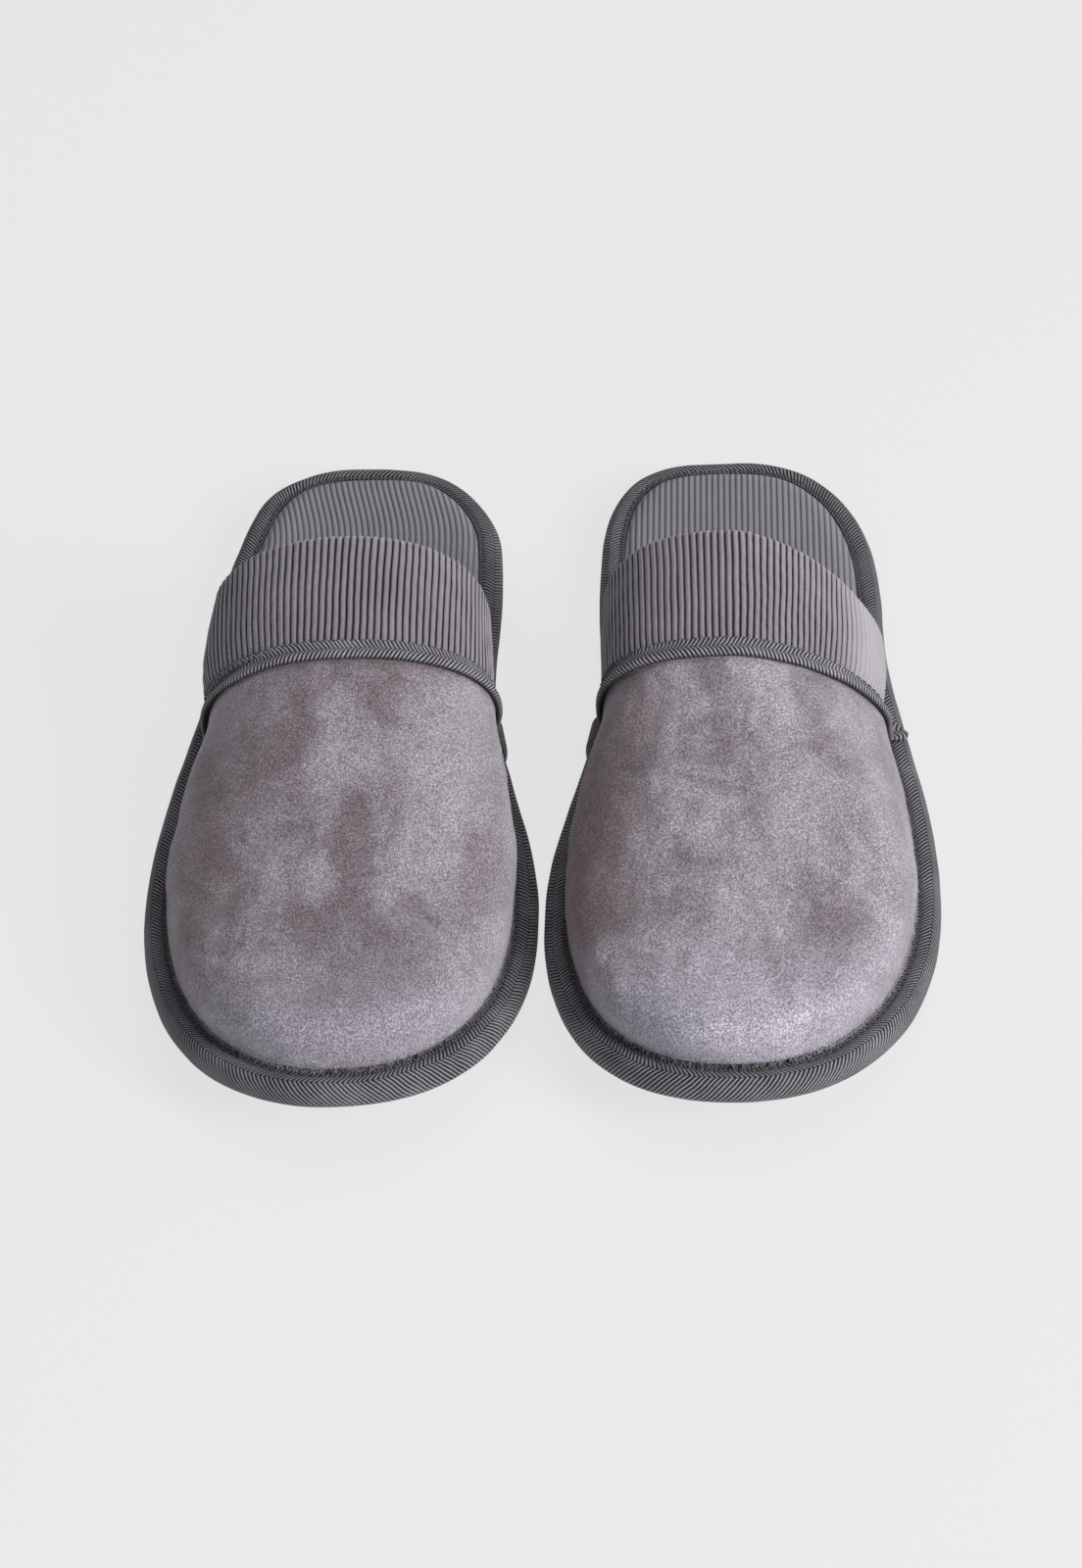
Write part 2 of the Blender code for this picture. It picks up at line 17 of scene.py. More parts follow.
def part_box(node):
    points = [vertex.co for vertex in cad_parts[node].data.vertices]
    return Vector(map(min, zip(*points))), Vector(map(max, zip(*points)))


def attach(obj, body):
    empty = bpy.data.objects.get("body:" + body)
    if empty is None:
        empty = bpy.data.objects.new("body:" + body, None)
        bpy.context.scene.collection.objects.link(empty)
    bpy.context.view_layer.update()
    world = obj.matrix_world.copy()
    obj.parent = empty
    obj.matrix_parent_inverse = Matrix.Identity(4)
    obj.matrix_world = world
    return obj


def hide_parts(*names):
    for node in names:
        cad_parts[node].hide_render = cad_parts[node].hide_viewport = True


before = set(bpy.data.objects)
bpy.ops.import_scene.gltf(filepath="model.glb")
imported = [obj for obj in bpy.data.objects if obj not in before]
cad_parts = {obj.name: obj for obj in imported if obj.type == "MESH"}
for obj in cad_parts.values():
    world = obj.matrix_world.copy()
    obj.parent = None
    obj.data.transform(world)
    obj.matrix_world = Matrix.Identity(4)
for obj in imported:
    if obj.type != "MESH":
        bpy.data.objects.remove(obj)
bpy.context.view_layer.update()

MM = 0.001
WELD = 0.002 * MM

# --- Design dimensions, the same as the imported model's ---

HALF_LENGTH = 137.5 * MM
SIDES = {
    "lateral": {
        "sign": 1.0,
        "ball": (-50.0 * MM, 54.4 * MM),
        "waist": (65.0 * MM, 42.3 * MM),
        "heel": (65.0 * MM, 42.3 * MM),
        "toe_power": 2.1,
        "heel_power": 2.4,
    },
    "medial": {
        "sign": -1.0,
        "ball": (-58.0 * MM, 51.3 * MM),
        "waist": (38.0 * MM, 37.6 * MM),
        "heel": (75.0 * MM, 38.7 * MM),
        "toe_power": 2.25,
        "heel_power": 3.3,
    },
}
TOE_SPRING = 12.9 * MM
SPRING_STARTS = -50.0 * MM
LEAN_STARTS = 98.0 * MM
RIM_STEP = 0.02

OUTSOLE_SECTION = np.array([(7.9, 0.0), (7.6, 0.35), (7.6, 3.4)]) * MM
TREAD_DEPTH = 1.2 * MM
TREAD_PITCH = 13.0 * MM
TREAD_GROOVE = 2.6 * MM
TREAD_REACH = 70.0 * MM
TREAD_SLOPE = 0.175
BOARD_TOP = 8.3 * MM
COVER_TOP = 12.6 * MM
HEEL_COVER_INSET = 6.2 * MM
FRONT_COVER_INSET = 12.4 * MM
COVER_WIDENS = (47.0 * MM, 62.0 * MM)
LIP_TOP = 10.9 * MM
LAP_FROM = 8.0 * MM
LAP_TO = 22.0 * MM

UPPER_INSET = 7.0 * MM
UPPER_BASE = 11.4 * MM
UPPER_THICKNESS = 4.8 * MM
CROWN_V = -62.0 * MM
CROWN_HEIGHT = 40.0 * MM
CROWN_SLOPE = 0.277
CROWN_RISE = -0.772
SEAM_TOP_V = 1.0 * MM
SEAM_BASE_V = 16.5 * MM
EDGE_V = 39.5 * MM
TOE_BULGE = 1.0 * MM


def bow(power, widest, bulge_mm):
    """Half an arch: how square it is, the share of its height where it is widest, and its bulge there."""
    return {"power": power, "widest": widest, "bulge": bulge_mm * MM}


CROWN_ARCH = {"lateral": bow(2.2, 0.36, 0.5), "medial": bow(2.2, 0.36, 1.5)}
SLIPPERS = {
    "right": {
        "mirror": True,
        "turn": math.radians(0.6),
        "heel_lean": 5.0 * MM,
        "seam_shift": 0.0,
        "plain_from": {"lateral": 0.62, "medial": 0.66},
        "hip": 1.2 * MM,
        "seam": {"lateral": bow(2.15, 0.20, -1.0), "medial": bow(2.25, 0.37, 6.2)},
        "cuff": {"lateral": bow(2.2, 0.26, 0.6), "medial": bow(2.25, 0.37, 6.2)},
        "edge": {"lateral": bow(2.3, 0.45, 2.8), "medial": bow(2.25, 0.37, 6.8)},
    },
    "left": {
        "mirror": False,
        "turn": 0.0,
        "heel_lean": 0.0,
        "seam_shift": -1.0 * MM,
        "plain_from": {"lateral": 0.38, "medial": 0.72},
        "hip": 1.6 * MM,
        "seam": {"lateral": bow(1.55, 0.20, -0.5), "medial": bow(2.5, 0.38, 2.2)},
        "cuff": {"lateral": bow(1.55, 0.20, 0.0), "medial": bow(2.5, 0.38, 3.4)},
        "edge": {"lateral": bow(1.55, 0.20, 4.6), "medial": bow(2.5, 0.40, 5.8)},
    },
}

# Each piece's slot, its material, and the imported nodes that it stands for.
PIECES = {
    "velour_vamp": ("velour", "velour", ("vamp_shell", "vamp_foam")),
    "vamp_lining_cloth": ("lining", "lining", ("vamp_lining",)),
    "pile_fringe": ("velour", "velour", ()),
    "rib_cuff": ("cuff_knit", "cuff", ("cuff_knit", "cuff_padding")),
    "seam_tape_twill": ("binding", "tape", ("seam_tape",)),
    "seam_thread": ("thread", "thread", ("seam_stitch",)),
    "edge_binding_twill": ("binding", "binding", ("edge_binding",)),
    "binding_thread": ("thread", "thread", ("binding_stitch",)),
    "binding_lap_twill": ("binding", "binding", ("binding_lap",)),
    "rib_insole": ("insole_knit", "insole", ("insole_cover", "insole_pad")),
    "rubber_outsole": ("outsole", "rubber", ("outsole",)),
    "tread_cutter": ("outsole", "rubber", ()),
}

# --- Lines and outlines ---


def ease(t):
    return 0.5 - 0.5 * np.cos(np.pi * np.clip(t, 0.0, 1.0))


def unit(vectors, least=1e-15):
    return vectors / np.maximum(np.linalg.norm(vectors, axis=-1, keepdims=True), least)


def run_of(line):
    """How far along a line, or along each column of a grid, every point is."""
    steps = np.linalg.norm(np.diff(line, axis=0), axis=-1)
    return np.concatenate([np.zeros_like(steps[:1]), np.cumsum(steps, axis=0)])


def spots_at(line, run, wanted):
    """The points of a line at these values of its run."""
    return np.stack([np.interp(wanted, run, line[:, k]) for k in range(line.shape[1])], axis=-1)


def resampled(line, fractions):
    """Points at these shares of a line's length."""
    run = run_of(line)
    return spots_at(line, run / run[-1], fractions)


def half_width(side, v):
    shape = SIDES[side]
    (ball_v, ball), (waist_v, waist), (heel_v, heel) = shape["ball"], shape["waist"], shape["heel"]
    toe = np.clip((ball_v - v) / (HALF_LENGTH + ball_v), 0.0, 1.0)
    back = np.clip((v - heel_v) / (HALF_LENGTH - heel_v), 0.0, 1.0)
    toe_part = ball * (1.0 - toe ** shape["toe_power"]) ** (1.0 / shape["toe_power"])
    heel_part = heel * (1.0 - back ** shape["heel_power"]) ** (1.0 / shape["heel_power"])
    middle = ball + (waist - ball) * ease((v - ball_v) / (waist_v - ball_v))
    rear = waist + (heel - waist) * ease((v - waist_v) / max(heel_v - waist_v, MM))
    inner = np.where(v <= waist_v, middle, np.where(v <= heel_v, rear, heel_part))
    return np.where(v <= ball_v, toe_part, inner)


def outline(angle):
    """Points of the sole outline. Angle 0 is the toe tip, and the lateral side's angles are positive."""
    v = -HALF_LENGTH * np.cos(angle)
    u = np.where(np.sin(angle) >= 0.0, half_width("lateral", v), -half_width("medial", v))
    return np.stack([u, v], axis=-1)


def rim(angle, inset):
    """The outline moved inwards, square to itself."""
    along = unit(outline(angle + RIM_STEP) - outline(angle - RIM_STEP))
    outwards = np.stack([along[..., 1], -along[..., 0]], axis=-1)
    return outline(angle) - outwards * np.asarray(inset)[..., None]


def even_angles(count, start=0.0, end=2.0 * math.pi, closed=True):
    """Angles whose points are evenly spaced along the outline, and how far along it they are."""
    dense = np.linspace(start, end, 6001)
    run = run_of(outline(dense))
    wanted = np.linspace(0.0, run[-1], count + 1 if closed else count)
    found = np.interp(wanted, run, dense)
    return (found[:-1], wanted[:-1]) if closed else (found, wanted)


def angle_at(v):
    return np.arccos(np.clip(-v / HALF_LENGTH, -1.0, 1.0))


def toe_lift(v):
    reach = np.clip(SPRING_STARTS - v, 0.0, None) / (HALF_LENGTH + SPRING_STARTS)
    return TOE_SPRING * reach * reach


def flat_points(line):
    """Points of the flat outline, given a height of 0."""
    return np.pad(line, ((0, 0), (0, 1)))


def ripple(points, wavelength, seed, waves=7):
    """Smooth, repeatable unevenness between about -1 and 1."""
    rng = np.random.default_rng(seed)
    total = np.zeros(points.shape[:-1])
    for _ in range(waves):
        direction = unit(rng.normal(size=3))
        size = wavelength * rng.uniform(0.7, 1.6)
        total += np.sin(points @ direction * (2.0 * np.pi / size) + rng.uniform(0.0, 2.0 * np.pi))
    return total / math.sqrt(waves)


# --- Placing and meshes ---


class Place:
    """Where one slipper stands, and what its pieces are made of."""

    def __init__(self, side, materials):
        self.side = side
        self.materials = materials
        self.shape = SLIPPERS[side]
        self.body = f"{side}_slipper"
        self.x = self.y = 0.0
        spots = self.world(flat_points(outline(np.linspace(0.0, 2.0 * math.pi, 4001))))
        low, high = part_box(f"{side}_edge_binding")
        self.x = 0.5 * (low.x + high.x) - 0.5 * (spots[:, 0].min() + spots[:, 0].max())
        self.y = 0.5 * (low.y + high.y) - 0.5 * (spots[:, 1].min() + spots[:, 1].max())

    def world(self, points):
        u, v, z = points[..., 0], points[..., 1], points[..., 2]
        z = z + toe_lift(v)
        u = u + self.shape["heel_lean"] * ease((v - LEAN_STARTS) / (HALF_LENGTH - LEAN_STARTS))
        u = -u if self.shape["mirror"] else u
        c, s = math.cos(self.shape["turn"]), math.sin(self.shape["turn"])
        return np.stack([c * u - s * v + self.x, s * u + c * v + self.y, z], axis=-1)

    def light_and_shade_masks(self, points):
        """How near the toe each point is, and how far towards the side away from the key light: masks for the
        velour's painted light at the toe and on its lit side, and for its painted shade on the other side.
        """
        return {
            "toward_toe": np.clip((-points[..., 1] - 40.0 * MM) / (90.0 * MM), 0.0, 1.0),
            "side": points[..., 0] / (52.0 * MM) * (1.0 if self.shape["mirror"] else -1.0),
        }

    def add(self, name, points, faces, smooth=True, **attributes):
        """One of PIECES as a mesh of this slipper, from points in its flat frame."""
        slot, made_of, replaces = PIECES[name]
        mesh = bpy.data.meshes.new(f"{self.side}_{name}")
        faces = [face[::-1] for face in faces] if self.shape["mirror"] else faces
        mesh.from_pydata(self.world(points).reshape(-1, 3).tolist(), [], faces)
        for key, values in attributes.items():
            layer = mesh.attributes.new(key, "FLOAT", "POINT")
            spread = np.broadcast_to(values, points.shape[:-1])
            layer.data.foreach_set("value", spread.astype(np.float32).ravel())
        bm = bmesh.new()
        bm.from_mesh(mesh)
        bmesh.ops.remove_doubles(bm, verts=bm.verts, dist=WELD)
        bm.to_mesh(mesh)
        bm.free()
        if smooth:
            mesh.shade_smooth()
        obj = bpy.data.objects.new(mesh.name, mesh)
        bpy.context.scene.collection.objects.link(obj)
        obj.data.materials.append(self.materials[made_of])
        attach(obj, self.body)
        nodes = [f"{self.side}_{node}" for node in replaces]
        if nodes:
            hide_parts(*nodes)
        return obj


def fix_facing(obj):
    """Turns a closed mesh's faces to look outwards."""
    bm = bmesh.new()
    bm.from_mesh(obj.data)
    bmesh.ops.recalc_face_normals(bm, faces=bm.faces)
    if bm.calc_volume(signed=True) < 0.0:
        bmesh.ops.reverse_faces(bm, faces=bm.faces)
    bm.to_mesh(obj.data)
    bm.free()
    return obj


def subdivided(obj):
    modifier = obj.modifiers.new("Fine", "SUBSURF")
    modifier.levels = modifier.render_levels = 1
    return obj


def thickened(obj, thickness):
    modifier = obj.modifiers.new("Thickness", "SOLIDIFY")
    modifier.thickness = thickness
    modifier.offset = -1.0
    return obj


def grid_faces(rows, columns, closed_rows=False, closed_columns=False, offset=0):
    r = np.arange(rows if closed_rows else rows - 1)
    c = np.arange(columns if closed_columns else columns - 1)
    r, c = np.meshgrid(r, c, indexing="ij")
    nr, nc = (r + 1) % rows, (c + 1) % columns
    corners = [r * columns + c, r * columns + nc, nr * columns + nc, nr * columns + c]
    return np.stack([k.ravel() + offset for k in corners], axis=1).tolist()


def strip_cap(loop):
    """Faces that close a loop of points, each from one side of it to the other."""
    ends = loop[::-1]
    return [[loop[i], loop[i + 1], ends[i + 1], ends[i]] for i in range(len(loop) // 2 - 1)]


def tube_faces(rows, columns):
    """Faces of a tube whose rows go round it, with both of its ends closed."""
    faces = grid_faces(rows, columns, closed_rows=True)
    for column in (0, columns - 1):
        faces += strip_cap([row * columns + column for row in range(rows)])
    return faces


def stack_faces(rows, columns, offset=0):
    """The same for a tube whose columns go round it."""
    faces = grid_faces(rows, columns, closed_columns=True, offset=offset)
    for row in (0, rows - 1):
        faces += strip_cap([offset + row * columns + column for column in range(columns)])
    return faces


def grid_normals(points):
    """Unit normals of a grid of points, by its neighbours, turned to look away from the foot."""
    normal = unit(np.cross(np.gradient(points, axis=0), np.gradient(points, axis=1)), 1e-12)
    return -normal if normal[0, points.shape[1] // 2][2] < 0.0 else normal


def mesh_normals(points, faces):
    normals = np.zeros_like(points)
    for size in (3, 4):
        found = np.array([face for face in faces if len(face) == size])
        if not len(found):
            continue
        corners = [points[found[:, k]] for k in (0, 1, 2, -1)]
        across = np.cross(corners[2] - corners[0], corners[3] - corners[1])
        for k in range(size):
            np.add.at(normals, found[:, k], across)
    return unit(normals)


def outwards(points, faces):
    """Faces and their points' normals, turned to look away from the foot."""
    normals = mesh_normals(points, faces)
    if normals[np.argmax(points[:, 2])][2] < 0.0:
        return [face[::-1] for face in faces], -normals
    return faces, normals


def tree_of(points):
    tree = KDTree(len(points))
    for i, spot in enumerate(points):
        tree.insert(spot, i)
    tree.balance()
    return tree


def relaxed(start, faces, fixed, rounds):
    """Each point drawn towards the mean of its neighbours, apart from the fixed ones."""
    edges = set()
    for face in faces:
        edges.update((min(ends), max(ends)) for ends in zip(face, face[1:] + face[:1]))
    edges = np.array(sorted(edges))
    points = start.copy()
    count = np.zeros(len(points))
    for k in (0, 1):
        np.add.at(count, edges[:, k], 1.0)
    free = ~fixed
    for _ in range(rounds):
        total = np.zeros_like(points)
        for k in (0, 1):
            np.add.at(total, edges[:, k], points[edges[:, 1 - k]])
        mean = total / np.maximum(count, 1.0)[:, None]
        points[free] += 0.5 * (mean[free] - points[free])
    return points


def smoothed_values(values, faces, rounds):
    """A value per point, evened out between neighbours."""
    stacked = np.stack([values, values, values], axis=-1)
    return relaxed(stacked, faces, np.zeros(len(values), bool), rounds)[:, 0]


def welded(points, faces):
    """Points at one place made one, and the faces that collapsed dropped."""
    keys = np.round(points / WELD).astype(np.int64)
    _, first, index = np.unique(keys, axis=0, return_index=True, return_inverse=True)
    index = index.reshape(-1)
    kept = [list(dict.fromkeys(int(index[i]) for i in face)) for face in faces]
    return points[first], [corners for corners in kept if len(corners) > 2]


# --- Upper ---

VAMP_STEPS = 56
VAMP_ROWS = 44
VAMP_SPOKES = 124
ARCH_STEPS = 160
BASE_STEPS = 40


def crown_height(v):
    back = v - CROWN_V
    return CROWN_HEIGHT + CROWN_SLOPE * back + CROWN_RISE * back * back


def arch(shape):
    """Dense (reach, rise, bulge) shares down one side of the arch, from the ridge to the base."""
    power = 2.0 / shape["power"]
    widest = shape["widest"]
    angle = 0.5 * np.pi * np.linspace(1.0, 0.0, ARCH_STEPS)
    over = np.abs(np.cos(angle)) ** power
    rise = widest + (1.0 - widest) * np.abs(np.sin(angle)) ** power
    down = np.linspace(0.0, 1.0, BASE_STEPS)[1:]
    reach = np.concatenate([over, np.ones(len(down))])
    return reach, np.concatenate([rise, widest * (1.0 - down)]), np.concatenate([over, 1.0 - down * down])


def mixed(first, second, share):
    return {key: first[key] + (second[key] - first[key]) * share for key in first}


def half_row(side, shape, top_v, base_v, fractions):
    sign = SIDES[side]["sign"]
    base = rim(sign * angle_at(base_v), UPPER_INSET)
    reach, rise, bulge = arch(shape)
    u = base[0] * reach + sign * bulge * shape["bulge"]
    v = base[1] + (top_v - base[1]) * rise
    z = UPPER_BASE + (crown_height(top_v) - UPPER_BASE) * rise
    return resampled(np.stack([u, v, z], axis=-1), fractions)


def cross_row(first, second, share, top_v, base_v, fractions):
    """An arch from the lateral base over the ridge to the medial base."""
    lateral, medial = (
        half_row(side, mixed(first[side], second[side], share), top_v, base_v, fractions[side])
        for side in ("lateral", "medial")
    )
    return np.concatenate([lateral[::-1], medial[1:]])


def vamp_row(slipper, share, fractions):
    """The vamp's arch at a share of the way from the crown back to the seam."""
    top_v = CROWN_V + (SEAM_TOP_V + slipper["seam_shift"] - CROWN_V) * share
    base_v = CROWN_V + (SEAM_BASE_V + slipper["seam_shift"] - CROWN_V) * share
    return cross_row(CROWN_ARCH, slipper["seam"], share, top_v, base_v, fractions)


def cuff_row(slipper, share, fractions):
    """The cuff's arch at a share of the way from the seam back to the open edge."""
    seam_v = SEAM_TOP_V + slipper["seam_shift"]
    seam_base = SEAM_BASE_V + slipper["seam_shift"]
    top_v = seam_v + (EDGE_V - seam_v) * share
    base_v = seam_base + (EDGE_V - seam_base) * share
    return cross_row(slipper["cuff"], slipper["edge"], max(share, 0.0), top_v, base_v, fractions)


def even_fractions(count):
    return dict.fromkeys(("lateral", "medial"), np.linspace(0.0, 1.0, count + 1))


def toe_spoke(angle, fractions):
    centre = np.array([0.0, CROWN_V])
    out = rim(angle, UPPER_INSET) - centre
    size = np.linalg.norm(out)
    shape = CROWN_ARCH["lateral" if out[0] >= 0.0 else "medial"]
    bulge_reach = TOE_BULGE + (shape["bulge"] - TOE_BULGE) * abs(out[0]) / size
    reach, rise, bulge = arch(shape)
    spot = centre + out * reach[:, None] + (out / size) * (bulge * bulge_reach)[:, None]
    tilt = CROWN_SLOPE * (spot[:, 1] - CROWN_V) * (1.0 - np.minimum(reach, 1.0) ** 2)
    z = UPPER_BASE + (CROWN_HEIGHT - UPPER_BASE) * rise + tilt
    return resampled(np.concatenate([spot, z[:, None]], axis=1), fractions)


def vamp_grids(slipper):
    """The vamp as two grids of points that share their edge: rows behind the crown, and toe spokes."""
    fractions = even_fractions(VAMP_STEPS)
    rows = np.stack([vamp_row(slipper, i / VAMP_ROWS, fractions) for i in range(VAMP_ROWS + 1)])
    start = float(angle_at(CROWN_V))
    angles, _ = even_angles(VAMP_SPOKES + 1, -start, start, closed=False)
    spokes = np.stack([toe_spoke(angle, fractions["lateral"]) for angle in angles[::-1]])
    spokes[0] = rows[0][VAMP_STEPS::-1]
    spokes[-1] = rows[0][VAMP_STEPS:]
    return rows, spokes


def vamp_surface(slipper):
    """The vamp's smooth outer surface: points, faces and how far each point is from the vamp's edges."""
    rows, spokes = vamp_grids(slipper)
    points = np.concatenate([rows.reshape(-1, 3), spokes.reshape(-1, 3)])
    faces = grid_faces(*rows.shape[:2]) + grid_faces(*spokes.shape[:2], offset=rows[..., 0].size)
    tree = tree_of(np.concatenate([rows[-1], rows[:, 0], rows[:, -1], spokes[:, -1]]))
    points, faces = welded(points, faces)
    distance = np.array([tree.find(spot)[2] for spot in points])
    return relaxed(points, faces, distance < 0.5 * MM, 30), faces, distance


# --- Soft filling ---

SWELL_FRAMES = 20
SWELL_CAP = 5.0 * MM
PRESSURE = 4.0
CLOTH_MASS = 0.02


def coordinates(mesh):
    flat = np.zeros(len(mesh.vertices) * 3)
    mesh.vertices.foreach_get("co", flat)
    return flat.reshape(-1, 3)


def swelling(points, faces, normals, distance, inset, voxel):
    """How far the filling pushes each point of a padded panel outwards.

    The panel starts a little small, is closed and remeshed, and swells as cloth under pressure while its
    sewn edges are held. The push is then read back at the panel's own points.
    """
    hold = ease((distance - 1.5 * MM) / (9.0 * MM))
    start = points - normals * (inset * hold)[:, None]
    scene = bpy.context.scene
    mesh = bpy.data.meshes.new("filling")
    mesh.from_pydata(start.tolist(), [], faces)
    obj = thickened(bpy.data.objects.new("filling", mesh), UPPER_THICKNESS)
    scene.collection.objects.link(obj)
    remesh = obj.modifiers.new("Remesh", "REMESH")
    remesh.mode = "VOXEL"
    remesh.voxel_size = voxel
    graph = bpy.context.evaluated_depsgraph_get()
    closed = bpy.data.meshes.new_from_object(obj.evaluated_get(graph))
    bpy.data.objects.remove(obj)

    padding = bpy.data.objects.new("filling_cloth", closed)
    scene.collection.objects.link(padding)
    rest = coordinates(closed)
    tree = tree_of(start)
    nearest = np.array([tree.find(spot)[1] for spot in rest])
    held = padding.vertex_groups.new(name="sewn")
    held.add([int(i) for i in np.flatnonzero(distance[nearest] < 2.0 * voxel)], 1.0, "REPLACE")
    cloth = padding.modifiers.new("Cloth", "CLOTH")
    settings = cloth.settings
    settings.quality = 6
    settings.mass = CLOTH_MASS
    settings.use_pressure = True
    settings.uniform_pressure_force = PRESSURE
    settings.vertex_group_mass = "sewn"
    settings.effector_weights.gravity = 0.0
    cloth.collision_settings.use_collision = False
    cloth.point_cache.frame_start = 1
    cloth.point_cache.frame_end = SWELL_FRAMES
    for number in range(1, SWELL_FRAMES + 1):
        scene.frame_set(number)
    swollen = padding.evaluated_get(bpy.context.evaluated_depsgraph_get())
    shift = coordinates(swollen.to_mesh()) - rest
    swollen.to_mesh_clear()
    bpy.data.objects.remove(padding)
    scene.frame_set(1)

    size = np.linalg.norm(shift, axis=1, keepdims=True)
    shift *= np.minimum(1.0, SWELL_CAP / np.maximum(size, 1e-9))
    tree = tree_of(rest)
    push = np.zeros(len(points))
    for i, (spot, normal) in enumerate(zip(start, normals)):
        found = tree.find_n(spot, 6)
        near = np.array([j for _, j, _ in found])
        weight = 1.0 / (np.array([d for _, _, d in found]) + 0.3 * voxel) ** 2
        push[i] = float((shift[near] @ normal * weight).sum() / weight.sum())
    return push - inset * hold


# --- Materials ---


def shade(level):
    """An sRGB colour, 0 to 255, as linear light."""
    linear = []
    for value in level:
        share = value / 255.0
        linear.append(share / 12.92 if share <= 0.04045 else ((share + 0.055) / 1.055) ** 2.4)
    return (*linear, 1.0)


class Tree:
    """The node tree of a material or of the world, built from short calls."""

    def __init__(self, owner):
        owner.use_nodes = True
        self.tree = owner.node_tree

    def fill(self, node, inputs):
        for key, value in inputs.items():
            if isinstance(value, bpy.types.NodeSocket):
                self.tree.links.new(value, node.inputs[key])
            elif value is not None:
                node.inputs[key].default_value = value

    def node(self, kind, inputs, **settings):
        node = self.tree.nodes.new("ShaderNode" + kind)
        for key, value in settings.items():
            setattr(node, key, value)
        self.fill(node, inputs)
        return node

    def blend(self, output, share, first, second):
        """Two shaders mixed, as what the tree gives out."""
        mixed_shader = self.node("MixShader", {"Fac": share, 1: first, 2: second}).outputs[0]
        self.fill(self.tree.nodes[output], {"Surface": mixed_shader})


class Graph(Tree):
    """A material. Sizes are in metres, and colours as for shade()."""

    def __init__(self, name, roughness, sheen=0.0, sheen_roughness=0.5, specular=0.3, tint=(1, 1, 1)):
        self.material = bpy.data.materials.new(name)
        super().__init__(self.material)
        self.shader = self.tree.nodes["Principled BSDF"]
        surface = {"Roughness": roughness, "Specular IOR Level": specular, "Sheen Weight": sheen}
        surface |= {"Sheen Roughness": sheen_roughness, "Sheen Tint": (*tint, 1.0)}
        self.fill(self.shader, surface)

    def math(self, operation, *values, clamp=False):
        inputs = dict(enumerate(values))
        return self.node("Math", inputs, operation=operation, use_clamp=clamp).outputs[0]

    def add(self, a, b):
        return self.math("ADD", a, b)

    def less(self, a, b):
        return self.math("SUBTRACT", a, b)

    def times(self, a, b):
        return self.math("MULTIPLY", a, b)

    def swing(self, value, amount):
        """A value of 0 to 1 as a swing either side of 0."""
        return self.times(self.less(value, 0.5), amount)

    def arc(self, value):
        """A value of 0 to 1 as half a sine wave."""
        return self.math("SINE", self.times(value, math.pi))

    def attribute(self, name):
        return self.node("Attribute", {}, attribute_name=name).outputs["Fac"]

    def place(self, scale=(1.0, 1.0, 1.0), shift=(0.0, 0.0, 0.0)):
        spot = self.node("TexCoord", {}).outputs["Object"]
        return self.node("Mapping", {"Vector": spot, "Scale": scale, "Location": shift}).outputs["Vector"]

    def noise(self, vector, size, detail=2.0, roughness=0.5, distortion=0.0):
        """Noise whose features are about this size."""
        inputs = {"Vector": vector, "Scale": 1.0 / size, "Detail": detail}
        inputs |= {"Roughness": roughness, "Distortion": distortion}
        return self.node("TexNoise", inputs).outputs["Fac"]

    def remap(self, value, low, high, to_low=0.0, to_high=1.0):
        inputs = {"Value": value, "From Min": low, "From Max": high, "To Min": to_low, "To Max": to_high}
        return self.node("MapRange", inputs, interpolation_type="SMOOTHSTEP").outputs["Result"]

    def mix(self, factor, *colours):
        node = self.node("Mix", {"Factor": factor}, data_type="RGBA")
        places = [i for i, socket in enumerate(node.inputs) if socket.type == "RGBA"]
        levels = [shade(colour) if isinstance(colour, tuple) else colour for colour in colours]
        self.fill(node, dict(zip(places, levels)))
        return next(socket for socket in node.outputs if socket.type == "RGBA")

    def bump(self, height, distance, strength, normal=None):
        inputs = {"Height": height, "Distance": distance, "Strength": strength, "Normal": normal}
        return self.node("Bump", inputs).outputs["Normal"]

    def finish(self, colour, normal, roughness=None):
        self.fill(self.shader, {"Base Color": colour, "Normal": normal, "Roughness": roughness})
        return self.material


